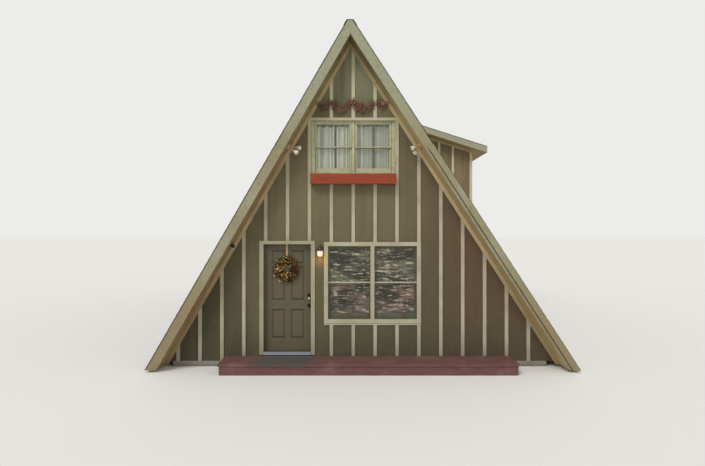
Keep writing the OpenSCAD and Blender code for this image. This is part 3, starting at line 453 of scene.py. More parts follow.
# Ridge cap
# Single tabs folded over the level cut along the ridge and nailed on each side, each lapping the one
# before it by half. Over the dormer their right leg lies on the dormer's flatter slope.
cap_low, cap_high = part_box("ridge_cap")
CAP_LEG = 0.108
CAP_LEFT_X = -0.0543
CAP_RIGHT_X = 0.0597
VALLEY_X = 0.0775
CAP_THICK = 0.0038
CAP_LIFTS = (0.0036, 0.0004)


def points_at(*coordinates):
    """Points from their coordinates, each an array or one number for all of them."""
    return np.stack(np.broadcast_arrays(*coordinates), axis=-1)


def slab(sheets, thickness):
    """Closed thin bodies from sheets of points, (n, rows, columns, 3): each sheet and its copy, moved by
    thickness, of either sign, along the normal dP/dcolumn x dP/drow, joined round the rim."""
    n, rows, columns = sheets.shape[:3]
    normal = np.cross(np.gradient(sheets, axis=2), np.gradient(sheets, axis=1))
    normal /= np.linalg.norm(normal, axis=-1, keepdims=True) + 1e-12
    size = rows * columns
    points = np.stack([sheets, sheets + normal * thickness], axis=1).reshape(-1, 3)
    index = np.arange(size).reshape(rows, columns)
    face = np.stack([index[:-1, :-1], index[1:, :-1], index[1:, 1:], index[:-1, 1:]], axis=-1).reshape(-1, 4)
    rim = np.concatenate([index[0, :-1], index[:-1, -1], index[-1, :0:-1], index[:0:-1, 0]])
    following = np.roll(rim, -1)
    edge = np.stack([rim, following, following + size, rim + size], axis=-1)
    one = np.concatenate([face, face[:, ::-1] + size, edge])
    if thickness < 0.0:
        one = one[:, ::-1]
    quads = one[None] + (np.arange(n) * 2 * size)[:, None, None]
    return points, quads.reshape(-1, 4)


def cap_tabs(y, on_dormer):
    """Folded tabs with their front edges at y: the same five points of the fold, (x, z), at both ends,
    the front one raised by a tab's thickness."""
    hand_pitch = PITCH_DORMER if on_dormer else PITCH_RIGHT
    valley_z = CROWN_Z - (VALLEY_X - CAP_RIGHT_X) * math.tan(PITCH_RIGHT)
    foot_x = VALLEY_X + (CAP_LEG - 0.03) * math.cos(hand_pitch)
    foot_z = valley_z - (foot_x - VALLEY_X) * math.tan(hand_pitch)
    fold = np.array([
        (CAP_LEFT_X - CAP_LEG * math.cos(PITCH_LEFT), CROWN_Z - CAP_LEG * math.sin(PITCH_LEFT)),
        (CAP_LEFT_X, CROWN_Z), (CAP_RIGHT_X, CROWN_Z), (VALLEY_X, valley_z), (foot_x, foot_z),
    ])
    out = np.array([(-0.87, 0.5), (-0.42, 1.0), (0.42, 1.0), (0.6, 0.8), (math.sin(hand_pitch), 0.5)])
    ends = np.stack([fold + out * lift for lift in CAP_LIFTS])
    end_y = y[:, None, None] + np.array([0.0, 2 * EXPOSURE])[:, None]
    return slab(points_at(ends[..., 0], end_y, ends[..., 1]), CAP_THICK)


cap_y = np.arange(cap_low.y + 0.004, cap_high.y - 2 * EXPOSURE, EXPOSURE)
over_dormer = (cap_y > dormer_low.y - EXPOSURE) & (cap_y < dormer_high.y)
cap_points, cap_quads = joined([cap_tabs(cap_y[over_dormer == choice], choice) for choice in (False, True)])
cap_tone = np.repeat(rng.uniform(0.2, 1.0, len(cap_y)), len(cap_points) // len(cap_y))
cap = mesh_piece("ridge_cap_tabs", cap_points, cap_quads, granules, tone=cap_tone)
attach(cap, "house")
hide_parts("ridge_cap")

# Rake boards, fascia and soffits
# Painted boards that close the ends of the rafters, mitred at the ridge, a second board lapped on the
# lower right one, and plywood soffits behind them. Their paint is faded, and lichen and dirt speckle it.
rake = Finish("rake_board_paint", roughness=0.75)
spots = rake.noise(34.0, 5.0, 0.75)
fine_spots = rake.noise(110.0, 3.0, 0.7)
fade = rake.noise(1.1, 4.0, 0.6)
rake_height = rake.axis("Z")
algae = rake.noise(2.3, 5.0, 0.65).step(0.5, 0.72) * rake_height.step(5.2, 3.6)
LAP_DEPTH = 0.112
depth = rake.axis("X") * math.sin(PITCH_RIGHT) + (rake_height - RIDGE_Z) * math.cos(PITCH_RIGHT)
# painted shade and dirt: the dark line in the gap along the lap of the lower right front board
lap_line = depth.off(-LAP_DEPTH).step(0.011, 0.006) * rake_height.step(4.0, 3.9)
rake.paint(
    fade.step(0.3, 0.7), (140, 130, 98), (152, 148, 122),
    (rake_height.step(3.9, 4.9) * 0.8, (150, 153, 126)),
    (rake_height.step(2.0, 0.8) * 0.7, (136, 117, 86)),
    (algae * 0.45, (116, 126, 82)),
    (rake.axis("Y").step(-2.0, -0.6) * 0.45, (174, 170, 142)),
    (spots.step(0.5, 0.68) * 0.7, (104, 97, 72)),
    (fine_spots.step(0.6, 0.72) * 0.5, (190, 186, 168)),
    (lap_line * rake.axis("Y").step(-4.9, -5.0) * 0.75, (64, 58, 42)),
)
rake.bump(spots + fine_spots * 0.5, 0.001, 0.6)
rake.cover("front_rake_boards", "lapped_rake_board", "back_rake_boards", "dormer_fascia")

soffit = Finish("soffit_paint", roughness=0.8)
stain = soffit.noise(3.0, 5.0, 0.65)
brushed = soffit.noise(2.0, 3.0, 0.5, (1.0, 14.0, 1.0))
soffit.paint(
    stain.step(0.3, 0.7), (152, 139, 97), (124, 110, 74),
    (brushed.step(0.45, 0.7) * 0.5, (108, 95, 58)),
    (soffit.axis("X").step(0.3, 1.2) * 0.6, (206, 184, 128)),
    (soffit.axis("X").step(-0.6, -1.4) * 0.35, (164, 120, 84)),
)
soffit.bump(stain, 0.001, 0.4)
soffit.cover("soffit_boards")

# Battens, friezes and casings
# Khaki painted pine strips nailed over the siding's joints and round the openings.
# The grain runs upright; the paint is chalky and stained where rain runs off, and browner on the
# friezes under the soffit. High under the apex the strips are painted lighter, a painted light for the
# shade of the overhang.
DOOR_X = -1.17
trim = Finish("khaki_trim_paint", roughness=0.68)
trim_grain = trim.noise(3.5, 5.0, 0.6, (34.0, 34.0, 1.6))
stain = trim.noise(2.4, 4.0, 0.6)
flecks = trim.noise(60.0, 3.0, 0.7)
trim_height, trim_y = trim.axis("Z"), trim.axis("Y")
by_door = trim.axis("X").off(DOOR_X).step(0.58, 0.56) * trim_height.step(2.45, 2.4)
trim.paint(
    stain.step(0.35, 0.7), (175, 170, 144), (159, 152, 126),
    (trim_grain.step(0.5, 0.8) * 0.4, (146, 136, 104)),
    (flecks.step(0.66, 0.74) * 0.5, (110, 99, 72)),
    # painted light: the strips high under the apex lighter
    (trim_height.step(4.2, 5.2) * 0.6, (206, 206, 168)),
    (by_door * 0.4, (126, 120, 98)),
    (trim_height.step(1.0, 0.7) * 0.35, (160, 166, 142)),
    (trim_y.step(-2.0, -0.6) * trim_y.step(0.5, 0.42) * 0.7, (218, 204, 170)),
    (trim_height.step(0.7, 0.1) * stain * 0.7, (104, 88, 66)),
)
trim.bump(trim_grain + flecks * 0.3, 0.001, 0.6)
trim.cover(
    "front_battens", "back_battens", "dormer_battens", "door_casing", "door_frame", "window_casings",
)

frieze = Finish("frieze_paint", roughness=0.7)
stain = frieze.noise(2.2, 5.0, 0.65)
frieze_specks = frieze.noise(38.0, 4.0, 0.7)
frieze.paint(
    stain.step(0.35, 0.65), (188, 164, 122), (166, 150, 112),
    (frieze_specks.step(0.55, 0.7) * 0.45, (122, 100, 68)),
    (frieze.axis("X").step(0.3, 1.2) * 0.45, (218, 200, 158)),
    (frieze.axis("Z").step(2.4, 0.8) * 0.5, (126, 98, 62)),
)
frieze.bump(frieze_specks, 0.001, 0.5)
frieze.cover("frieze_boards")

# Windows
# Wooden frames with a lower sash that slides behind the upper one. The upper storey's are painted
# khaki, with painted shadow lines beside the middle posts and the jambs and under the meeting rail; the big
# pair below is stained dark, with only its meeting rail painted. Its old panes are dull and mottled:
# painted nearly opaque, dark for the shaded room behind them, with blotches of painted reflection and
# highlight. The upper panes are a faint pale painted reflection.
STOREY_Z = 3.3
RAIL_Z = 1.556
UPPER_MIDDLE = 0.06
UPPER_RAIL_Z = 4.0775
POST_EDGE = 0.026
JAMB_EDGE = 0.7128
sash = Finish("sash_paint", roughness=0.55)
sash_height = sash.axis("Z")
sash_wear = sash.noise(8.0, 5.0, 0.65)
low_sash = sash_height.step(STOREY_Z, STOREY_Z - 0.1)
from_middle = sash.axis("X").off(UPPER_MIDDLE)
under_rail = sash_height.off(UPPER_RAIL_Z - 0.009).step(0.006, 0.003)
between = from_middle.step(POST_EDGE, POST_EDGE + 0.004) * from_middle.step(JAMB_EDGE, JAMB_EDGE - 0.0028)
khaki = sash.coats(
    sash.blend(sash_wear.step(0.35, 0.75), (184, 182, 148), (156, 154, 120)),
    # painted shadow lines beside the middle posts and along the jambs
    *((from_middle.off(edge).step(0.007, 0.004) * 0.6, (90, 86, 60)) for edge in (POST_EDGE, JAMB_EDGE)),
    # painted shadow under the upper meeting rail
    (under_rail * between * 0.8, (70, 74, 56)),
    (low_sash * 0.6, (160, 158, 142)),
)
stained = sash.blend(sash_wear.step(0.35, 0.7), (82, 90, 76), (80, 66, 46))
on_low_sash = low_sash * sash_height.off(RAIL_Z).step(0.014, 0.018)
sash.paint(on_low_sash, khaki, stained)
sash.bump(sash_wear, 0.0008, 0.4)
sash.cover("window_frames")

glass = Finish("window_pane")
low_pane = glass.axis("Z").step(STOREY_Z, STOREY_Z - 0.1)
reflection_mottle = glass.noise(1.6, 6.0, 0.68, (1.2, 1.2, 3.4))
sheen = glass.noise(5.0, 6.0, 0.72, (1.0, 1.0, 4.5))
above_rail = glass.axis("Z").step(RAIL_Z - 0.02, RAIL_Z + 0.02)
# the lower panes: painted dark for the shaded room behind them, with painted reflections and highlights
dull = glass.coats(
    glass.blend(reflection_mottle.step(0.42, 0.6), (48, 48, 38), glass.blend(above_rail, (114, 98, 84), (98, 100, 82))),
    (sheen.step(0.54, 0.62) * 0.85, (198, 184, 162)),
    (sheen.step(0.46, 0.38) * 0.7, (34, 40, 30)),
)
# painted reflection: the upper panes are a faint pale veil
glass.feed(
    base_color=glass.blend(low_pane, (176, 182, 166), dull), alpha=low_pane * 0.78 + 0.16,
    roughness=reflection_mottle * 0.08 + 0.02,
)
glass.cover("window_glass")

# Curtains of the upper window
# Four sheer panels, gathered in pleats and hung on a steel rod by hooks; between two hooks the top
# edge sags. They glow faintly in their own colour, a painted light for the daylight that comes through
# them from the loft. Their pleats are painted darker where they fall back and lighter where they stand
# forward, painted shade and light; the right-hand panels carry painted shade, and pale patches are
# painted dappled light.


def mottled(name, tones, scale, *noise, **surface):
    """A finish of two tones blended by noise of a given scale, detail and roughness, and that noise."""
    finish = Finish(name, **surface)
    marks = finish.noise(scale, *noise)
    return finish.paint(marks, *tones), marks


rod_steel, _ = mottled(
    "rod_steel", ((182, 178, 168), (136, 130, 118)), 90.0, 3.0, 0.6, metallic=1.0, roughness=0.35,
)
rod_steel.cover("curtain_rods")

sheer = Finish("sheer_cloth", roughness=0.9, emission_strength=0.1)
threads = sheer.node("ShaderNodeTexWave", {"bands_direction": "Z"}, {"Vector": sheer.place, "Scale": 420.0})
cloth = sheer.coats(
    # painted shade and light: pleats darker where they fall back, lighter where they stand forward
    sheer.blend(sheer.tone(), (94, 102, 88), (240, 244, 228)),
    # painted shade: the right-hand panels darker
    (sheer.axis("X").step(-0.2, 0.5) * 0.5, (88, 92, 74)),
    (threads * 0.25, (196, 194, 180)),
    # painted dappled light: tinted patches
    (sheer.noise(4.0, 4.0, 0.6).step(0.45, 0.7) * 0.35, (190, 176, 164)),
    (sheer.noise(9.0, 3.0, 0.6).step(0.5, 0.7) * 0.3, (156, 176, 150)),
)
# painted light: the cloth glows faintly in its own colour
sheer.feed(base_color=cloth, emission_color=cloth)
curtain_low, curtain_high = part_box("upper_curtains")
PLEATS = 5
SASH_PITCH = 0.7808
PANEL_GAP = 0.018
CLOTH_THICK = 0.0008
PANEL_EDGES = (0.0, 0.57, 1.0, 1.49, 2.0)


def pleated(x_start, width, seed):
    """A cloth hung in uneven pleats: y = amplitude sin(2 pi pleats u + wander), growing downwards, over u
    across and v down; the top edge sags between hooks by |sin|. Also returns how far each point stands
    forward."""
    u, v = np.meshgrid(np.linspace(0.0, 1.0, PLEATS * 14 + 1), np.linspace(0.0, 1.0, 26))
    wander = 0.08 * np.sin(5.0 * v + seed) * np.sin(9.0 * u + 2.0 * seed) + 0.42 * np.sin(6.5 * u + seed)
    wave = np.sin(2.0 * math.pi * (PLEATS * u + wander)) * (0.65 + 0.35 * np.sin(7.0 * u + 3.0 * seed))
    depth = (0.006 + 0.005 * v) * wave
    top = curtain_high.z - 0.002 - 0.036 * np.abs(np.sin(math.pi * (3.0 + 0.4 * seed) * u + seed)) ** 1.5
    z = top + (curtain_low.z + 0.001 - top) * v
    x = x_start + width * u + 0.004 * v * np.sin(4.0 * math.pi * u + seed) * u * (1.0 - u)
    y = (curtain_low.y + curtain_high.y) / 2 + depth
    return points_at(x, y, z), 0.5 - 0.5 * wave


for i, (left, right) in enumerate(zip(PANEL_EDGES[:-1], PANEL_EDGES[1:])):
    start = curtain_low.x + left * SASH_PITCH
    width = (right - left) * SASH_PITCH - 2 * PANEL_GAP
    panel, forward = pleated(start, width, 0.9 * i)
    points, quads = slab(panel[None], CLOTH_THICK)
    forward = np.tile(forward.ravel(), 2)
    piece = mesh_piece(f"curtain_{i + 1}", points, quads, sheer, smooth=True, tone=forward)
    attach(piece, "house")
    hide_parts("upper_curtains")

# Entry door
# A six-panel steel-faced door in the siding's colour, on three butt hinges, with a dull aluminium
# threshold, dark olive grey behind its nose, an oil-rubbed bronze knob, and a lock with a nickel cylinder.
DOOR_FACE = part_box("entry_door")[0].y
door = Finish("door_paint", roughness=0.5)
brush = door.noise(5.0, 4.0, 0.6, (20.0, 20.0, 2.0))
scuffs = door.noise(3.0, 5.0, 0.7).step(0.6, 0.75) * door.axis("Z").step(1.1, 0.2)
depth, height = door.axis("Y"), door.axis("Z")
# dust and painted shade: the panel grooves darker, the level ones most, as shade falls from above
grooves = depth.step(DOOR_FACE + 0.001, DOOR_FACE + 0.006) * depth.step(DOOR_FACE + 0.012, DOOR_FACE + 0.01)
across = [height.off(z).step(0.017, 0.012) * 0.45 for z in (0.522, 1.034, 1.237, 1.841, 1.92, 2.137)]
door.paint(
    brush.step(0.3, 0.7), (91, 84, 60), (83, 75, 52),
    (grooves * sum(across, 0.4), (52, 46, 32)),
    (scuffs * 0.4, (66, 58, 42)),
)
door.bump(brush, 0.0006, 0.5)
door.cover("entry_door")

alloy = Finish("mill_aluminium", metallic=0.55)
worn = alloy.noise(30.0, 4.0, 0.7, (1.0, 12.0, 12.0))
NOSE_DEPTH = 0.012
nose_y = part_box("door_threshold")[0].y + NOSE_DEPTH
# the threshold is dark olive grey behind its nose
sill_strip = alloy.axis("Y").step(nose_y, nose_y + 0.006)
alloy.paint(worn, (186, 196, 204), (142, 150, 156), (sill_strip * 0.85, (92, 88, 70)))
alloy.feed(roughness=worn * 0.3 + 0.3)
alloy.cover("door_threshold")

bronze = Finish("oil_rubbed_bronze", metallic=0.9, roughness=0.4)
rub = bronze.noise(40.0, 4.0, 0.6)
bronze.paint(rub.step(0.5, 0.7), (40, 32, 26), (92, 66, 42))
bronze.cover("door_knob")

CYLINDER_X = -0.771
CYLINDER_Z = 1.25
lock = Finish("lock_metals", metallic=0.9)
lock_x, lock_z = lock.axis("X") - CYLINDER_X, lock.axis("Z") - CYLINDER_Z
cylinder = ((lock_x * lock_x + lock_z * lock_z) ** 0.5).step(0.027, 0.024)
lock_marks = lock.noise(90.0, 3.0, 0.6)
plated = lock.blend(lock_marks, (214, 210, 200), (160, 154, 142))
lock.paint(cylinder, (46, 38, 30), plated).feed(roughness=lock_marks * 0.25 + 0.25)
lock.cover("door_deadbolt")

steel, steel_wear = mottled("hinge_steel", ((128, 122, 110), (96, 86, 72)), 60.0, metallic=0.9)
steel.feed(roughness=steel_wear * 0.4 + 0.25).cover("door_hinges", "frame_hinges")

# Wreath and ribbon
# A ring of bound twigs with dry leaves, hung by a woven ribbon from the top of the
# door. Its twigs and leaves bristle at the edge, and its right side is darker.
wreath_low, wreath_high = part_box("door_wreath")
wreath_centre = np.array((wreath_low + wreath_high) / 2)
RING_R = 0.162
RING_HALF = 0.085
DOOR_SIDE = float(wreath_high.y) - float(wreath_centre[1]) - 0.001
twig_bark = Finish("dry_twigs", roughness=0.85)
twig_tone = twig_bark.tone()
shady = twig_bark.axis("X").step(wreath_centre[0] + 0.02, wreath_centre[0] + 0.16)
twig_bark.paint(
    twig_tone.step(0.25, 0.6), (24, 14, 4), (142, 86, 26),
    (twig_tone.step(0.55, 0.72), (250, 214, 124)),
    (twig_bark.noise(60.0, 3.0, 0.7).step(0.5, 0.7) * 0.4, (58, 34, 12)),
    (shady * 0.55, (66, 38, 14)),
)


def tubes(path, radius, sides=4, across=(0.0, 1.0, 0.0)):
    """Closed tapered tubes round paths that never run along across: path is (n, rings, 3), radius
    (n, rings). Each ring is a regular polygon of an even number of sides, r (a cos t + b sin t)."""
    n, rings = path.shape[:2]
    tangent = np.gradient(path, axis=1)
    tangent /= np.linalg.norm(tangent, axis=-1, keepdims=True) + 1e-12
    side_a = np.cross(tangent, across)
    side_a /= np.linalg.norm(side_a, axis=-1, keepdims=True)
    side_b = np.cross(tangent, side_a)
    angle = np.linspace(0.0, 2.0 * math.pi, sides, endpoint=False)
    circle = side_a[:, :, None] * np.cos(angle)[None, None, :, None]
    circle = circle + side_b[:, :, None] * np.sin(angle)[None, None, :, None]
    points = path[:, :, None] + circle * radius[:, :, None, None]
    first = (np.arange(rings - 1)[:, None] * sides + np.arange(sides)).ravel()
    following = (np.arange(rings - 1)[:, None] * sides + (np.arange(sides) + 1) % sides).ravel()
    wall = np.stack([first, following, following + sides, first + sides], axis=-1)
    end = np.array([(0, k, k + 1, k + 2) for k in range(1, sides - 2, 2)])
    one = np.concatenate([wall, end[:, ::-1], end + (rings - 1) * sides])
    quads = one[None] + (np.arange(n) * rings * sides)[:, None, None]
    return points.reshape(-1, 3), quads.reshape(-1, 4)


def wreath_twigs(count):
    """Twigs wound round the ring: each starts inside it, follows it for a short arc, and lifts off
    outwards, so that the wreath has a loose, bristling edge."""
    start = rng.uniform(0.0, 2.0 * math.pi, count)
    spread = rng.uniform(0.0, 2.0 * math.pi, count)
    arc = rng.uniform(0.15, 0.6, count) * rng.choice([-1.0, 1.0], count, p=[0.25, 0.75])
    lift = rng.uniform(0.1, 1.0, count) ** 2
    t = np.linspace(0.0, 1.0, 5)
    phi = start[:, None] + arc[:, None] * t
    tube = 0.5 + 0.75 * lift[:, None] * t
    radial = RING_R + RING_HALF * tube * np.cos(spread[:, None] + 1.6 * t)
    depth = np.clip(0.04 * tube * np.sin(spread[:, None] + 1.6 * t), -0.06, DOOR_SIDE - 0.004)
    path = points_at(radial * np.cos(phi), depth, radial * np.sin(phi))
    radius = rng.uniform(0.0012, 0.0030, count)[:, None] * (1.0 - 0.75 * t)
    return path + wreath_centre, radius, np.repeat(rng.beta(1.3, 2.2, count), 5 * 4)


def wreath_leaves(count):
    """Dry leaves: a pointed oval grid, half width 0.3 sin(pi u), folded along its midrib and curled,
    set at random on the ring's outer surface."""
    u, w = np.meshgrid([0.0, 0.35, 0.7, 1.0], [-1.0, 0.0, 1.0], indexing="ij")
    half = np.sin(math.pi * np.clip(u, 0.04, 0.96)) * 0.3
    leaf = points_at(u, half * w, 0.36 * np.abs(w) * half + 0.25 * u ** 2)
    phi = rng.uniform(0.0, 2.0 * math.pi, count)
    spread = rng.uniform(0.0, 2.0 * math.pi, count)
    radial = RING_R + RING_HALF * rng.uniform(0.3, 1.15, count) * np.cos(spread)
    depth = -0.034 * np.abs(np.sin(spread)) * rng.uniform(0.4, 1.2, count)
    base = points_at(radial * np.cos(phi), depth, radial * np.sin(phi))
    turns = np.linalg.qr(rng.normal(size=(count, 3, 3)))[0]
    size = rng.uniform(0.014, 0.036, count)
    blades = np.einsum("nij,rcj->nrci", turns, leaf) * size[:, None, None, None] + base[:, None, None]
    points, quads = slab(blades + wreath_centre, 0.0008)
    points[:, 1] = np.minimum(points[:, 1], wreath_centre[1] + DOOR_SIDE)
    return points, quads, np.repeat(rng.beta(0.8, 1.5, count), leaf.shape[0] * leaf.shape[1] * 2)


path, radius, tones = wreath_twigs(1700)
twigs = mesh_piece("wreath_twigs", *tubes(path, radius), twig_bark, tone=tones)
points, quads, tones = wreath_leaves(1300)
leaves = mesh_piece("wreath_leaves", points, quads, twig_bark, smooth=True, tone=tones)
for piece in (twigs, leaves):
    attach(piece, "door")
    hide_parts("door_wreath")

ribbon_cloth = Finish("woven_ribbon", roughness=0.8)
ribbon_weave = ribbon_cloth.noise(6.0, 2.0, 0.5, (700.0, 700.0, 60.0))
ribbon_cloth.paint(ribbon_weave, (234, 204, 158), (196, 152, 104))
ribbon_low, ribbon_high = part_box("wreath_ribbon")
RIBBON_THICK = 0.0012
u, v = np.meshgrid(np.linspace(0.0, 1.0, 7), np.linspace(0.0, 1.0, 18))
across = (u - 0.5) * (ribbon_high.x - ribbon_low.x) * (0.66 - 0.1 * v ** 3)
ribbon_sheet = points_at(
    (ribbon_low.x + ribbon_high.x) / 2 + across,
    ribbon_low.y + 0.0004 + 0.0006 * np.cos(2 * math.pi * u) * v,
    ribbon_high.z + (ribbon_low.z - ribbon_high.z) * v,
)
points, quads = slab(ribbon_sheet[None], -RIBBON_THICK)
ribbon = mesh_piece("door_ribbon", points, quads, ribbon_cloth, smooth=True)
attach(ribbon, "door")
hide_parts("wreath_ribbon")

# Planter box
# A trough of boards in red oxide paint, screwed over the battens under the upper window.
# The paint has faded in blotches and chipped along the grain.
oxide = Finish("red_oxide_paint", roughness=0.6)
oxide_wear = oxide.noise(5.0, 5.0, 0.65, (1.0, 6.0, 6.0))
oxide_chip = oxide.noise(26.0, 4.0, 0.75)
oxide.paint(
    oxide_wear.step(0.3, 0.7), (148, 54, 4), (124, 44, 6),
    (oxide_chip.step(0.68, 0.76) * 0.6, (92, 40, 24)),
)
oxide.bump(oxide_wear + oxide_chip * 0.4, 0.001, 0.5)
oxide.cover("planter_box")

# Leaf ornament
# A vine of wrought iron screwed to the battens: a stem that curls up at both ends, cupped leaves with
# five lobes, tendrils and four bunches of grapes, all rusted to a dull brown. Some leaves and grapes are
# painted pale pink all over, a painted highlight.
rust = Finish("rusted_iron", roughness=0.9)
rust_tone = rust.tone()
rust_patch = rust.noise(24.0, 6.0, 0.75)
rust.paint(
    rust_patch.step(0.35, 0.65), (62, 46, 36), (142, 104, 82),
    (rust_tone.step(0.0, 0.8) * 0.45, (112, 70, 62)),
    # painted highlight: pieces of high tone pale pink all over
    (rust_tone.step(0.82, 1.0), (176, 124, 112)),
)
rust.bump(rust_patch, 0.001, 0.8)
vine_low, vine_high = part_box("vine_ornament")
VINE_X = (vine_low.x + vine_high.x) / 2
VINE_BASE = 4.673
VINE_HALF = 0.6105
VINE_Y = vine_high.y - 0.012
vine_parts, vine_tones = [], []


def add_iron(points, quads, tone):
    """Adds closed bodies to the ornament; tone is one number for all of them."""
    vine_parts.append((points, quads))
    vine_tones.append(np.full(len(points), tone))


def stem_height(u):
    """The stem's height over u from -1 to 1: it sags twice between the middle and the two ends."""
    return VINE_BASE + 0.15 + 0.025 * np.cos(3.0 * math.pi * u) + 0.015 * u ** 2 + 0.02 * u ** 8


def vine_place(u, lift=0.0):
    """Where the stem runs at u; lift brings the place forward."""
    return points_at(VINE_X + VINE_HALF * u, VINE_Y - lift, stem_height(u))


def spiral(start, heading, turn, radius, thick):
    """A tendril: the radius of its curl shrinks as 1 - t while the angle grows by turn, in radians."""
    t = np.linspace(0.0, 1.0, 18)
    angle = heading + turn * t
    step = radius * (1.0 - 0.85 * t) * abs(turn) / 17.0
    x = start[0] + np.cumsum(step * np.cos(angle))
    z = start[2] + np.cumsum(step * np.sin(angle))
    y = start[1] - 0.006 * np.sin(math.pi * t)
    path = points_at(x, y, z)[None]
    return tubes(path, (thick * (1.0 - 0.6 * t))[None], sides=6)


def iron_leaf(place, angle, size, cup):
    """A leaf blade over the angle a round its middle and r outwards: its rim, 0.27 + 0.2 cos 5a, has five
    deep lobes and an open side at the stalk, and its tips are cupped away from the wall."""
    a, r = np.meshgrid(np.radians(np.linspace(-162.0, 162.0, 37)), np.linspace(0.08, 1.0, 4))
    rim = 0.27 + 0.2 * np.cos(5.0 * a) + 0.03 * np.cos(20.0 * a)
    along, across = 0.5 + rim * r * np.cos(a), rim * r * np.sin(a)
    raised = cup * (rim * r) ** 2 + 0.05 * np.cos(5.0 * a) * r
    turn = np.array([[math.cos(angle), -math.sin(angle)], [math.sin(angle), math.cos(angle)]])
    flat = np.einsum("ij,jrc->irc", turn, np.stack([along, across])) * size
    blade = points_at(place[0] + flat[0], place[1] - 0.004 - raised * size, place[2] + flat[1])
    stalk = np.array([0.0, 0.5, 1.0])[:, None] * (blade[0, 18] - place) + place
    add_iron(*tubes(stalk[None], np.full((1, 3), 0.0028), sides=6), 0.1)
    return slab(blade[None], -0.0018)


stem_u = np.linspace(-1.0, 1.0, 72)
twin = vine_place(stem_u, 0.007)
twin[:, 2] -= 0.022 * np.sin(9.0 * math.pi * stem_u)
for strand, thick in ((vine_place(stem_u), 0.0065), (twin, 0.004)):
    add_iron(*tubes(strand[None], np.full((1, 72), thick), sides=6), 0.1)
for u, angle, size in (
    (-0.9, -60, 70), (-0.78, -105, 100), (-0.64, 75, 90), (-0.58, -90, 120), (-0.42, 100, 100),
    (-0.38, -80, 125), (-0.22, 60, 105), (-0.18, -100, 115), (-0.04, 118, 115), (0.01, 82, 150),
    (0.08, 38, 115), (0.08, -80, 125), (0.28, -100, 135), (0.3, 95, 100), (0.46, -75, 110),
    (0.54, 85, 110), (0.64, -105, 120), (0.72, 60, 85), (0.86, -75, 85),
):
    place = vine_place(u)
    blade = iron_leaf(place, math.radians(angle), size / 1000.0, rng.uniform(0.2, 0.6))
    add_iron(*blade, rng.uniform(0.0, 0.9))
for u in np.linspace(-0.92, 0.92, 16):
    place = vine_place(u + rng.uniform(-0.03, 0.03), rng.uniform(0.0, 0.006))
    angle = rng.choice([-1.0, 1.0]) * rng.uniform(1.1, 2.0)
    blade = iron_leaf(place, angle, rng.uniform(0.09, 0.14), rng.uniform(0.2, 0.6))
    add_iron(*blade, rng.uniform(0.0, 1.0))
for u in np.linspace(-0.97, 0.97, 46):
    place = vine_place(u + rng.uniform(-0.02, 0.02), 0.004)
    side_up = rng.choice([-1.0, 1.0])
    heading = side_up * rng.uniform(0.8, 1.9)
    add_iron(*spiral(place, heading, rng.choice([-1.0, 1.0]) * rng.uniform(4.0, 7.0), 0.034, 0.0036), 0.2)
for end in (-1.0, 1.0):
    place = vine_place(end)
    add_iron(*spiral(place, math.pi / 2 - end * math.pi / 2, end * 8.0, 0.046, 0.009), 0.1)
for u, hang in ((-0.5, 0.05), (0.5, 0.055), (-0.27, 0.05), (0.3, 0.06)):
    middle = vine_place(u, 0.014) - (0.0, 0.0, hang)
    arc = np.linspace(0.0, math.pi, 6)
    for k in range(12):
        size = rng.uniform(0.007, 0.0105)
        width = 0.030 * (1.0 - 0.5 * (k // 4) / 3.0)
        centre = middle + (rng.uniform(-width, width), rng.uniform(-0.008, 0.004), 0.018 * (1.5 - k / 4.0))
        path = centre + points_at(-np.cos(arc), 0.0, 0.0) * size
        berry = tubes(path[None], size * np.maximum(np.sin(arc), 0.2)[None], sides=6)
        add_iron(*berry, rng.uniform(0.4, 1.0))
vine = mesh_piece("iron_vine", *joined(vine_parts), rust, smooth=True, tone=np.concatenate(vine_tones))
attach(vine, "house")
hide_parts("vine_ornament")

# Lamps
# Twin flood lights of tan enamel with white lamps, a black soffit lamp, and a black wall lantern
# whose frosted jar is lit; its weak bulb warms the wall below it.
tan_enamel, _ = mottled("tan_enamel", ((206, 168, 136), (172, 134, 104)), 50.0, roughness=0.45)
tan_enamel.cover("flood_lights")
lamp_white, _ = mottled("lamp_glass", ((240, 236, 226), (204, 196, 180)), 30.0, roughness=0.25)
lamp_white.cover("flood_lamps")
enamel, pitting = mottled("black_enamel", ((24, 23, 22), (44, 40, 36)), 45.0)
enamel.feed(roughness=pitting * 0.4 + 0.2).cover("soffit_lamp", "wall_lantern")
frosted, frost = mottled(
    "frosted_jar", ((250, 236, 214), (236, 214, 184)), 30.0, 3.0, 0.6, roughness=0.4, emission_strength=0.4,
)
jar_low, jar_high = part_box("lantern_glass")
jar_height = frosted.axis("Z")
frosted.feed(emission_color=frosted.coats(
    frosted.blend(frost * 0.4, (255, 226, 176), (255, 204, 144)),
    # painted shade: the jar's glow dark at its top, under the cap
    (jar_height.step(jar_high.z - 0.035, jar_high.z), (60, 36, 16)),
    (jar_height.step(jar_low.z + 0.02, jar_low.z) * 0.7, (230, 130, 50)),
))
frosted.cover("lantern_glass")
bulb_data = bpy.data.lights.new("lantern_bulb", "POINT")
bulb_data.energy = 0.7
bulb_data.color = (1.0, 0.5, 0.18)
bulb_data.shadow_soft_size = 0.03
bulb = bpy.data.objects.new("lantern_bulb", bulb_data)
bulb.location = ((jar_low.x + jar_high.x) / 2, (jar_low.y + jar_high.y) / 2, jar_low.z - 0.08)
bpy.context.scene.collection.objects.link(bulb)

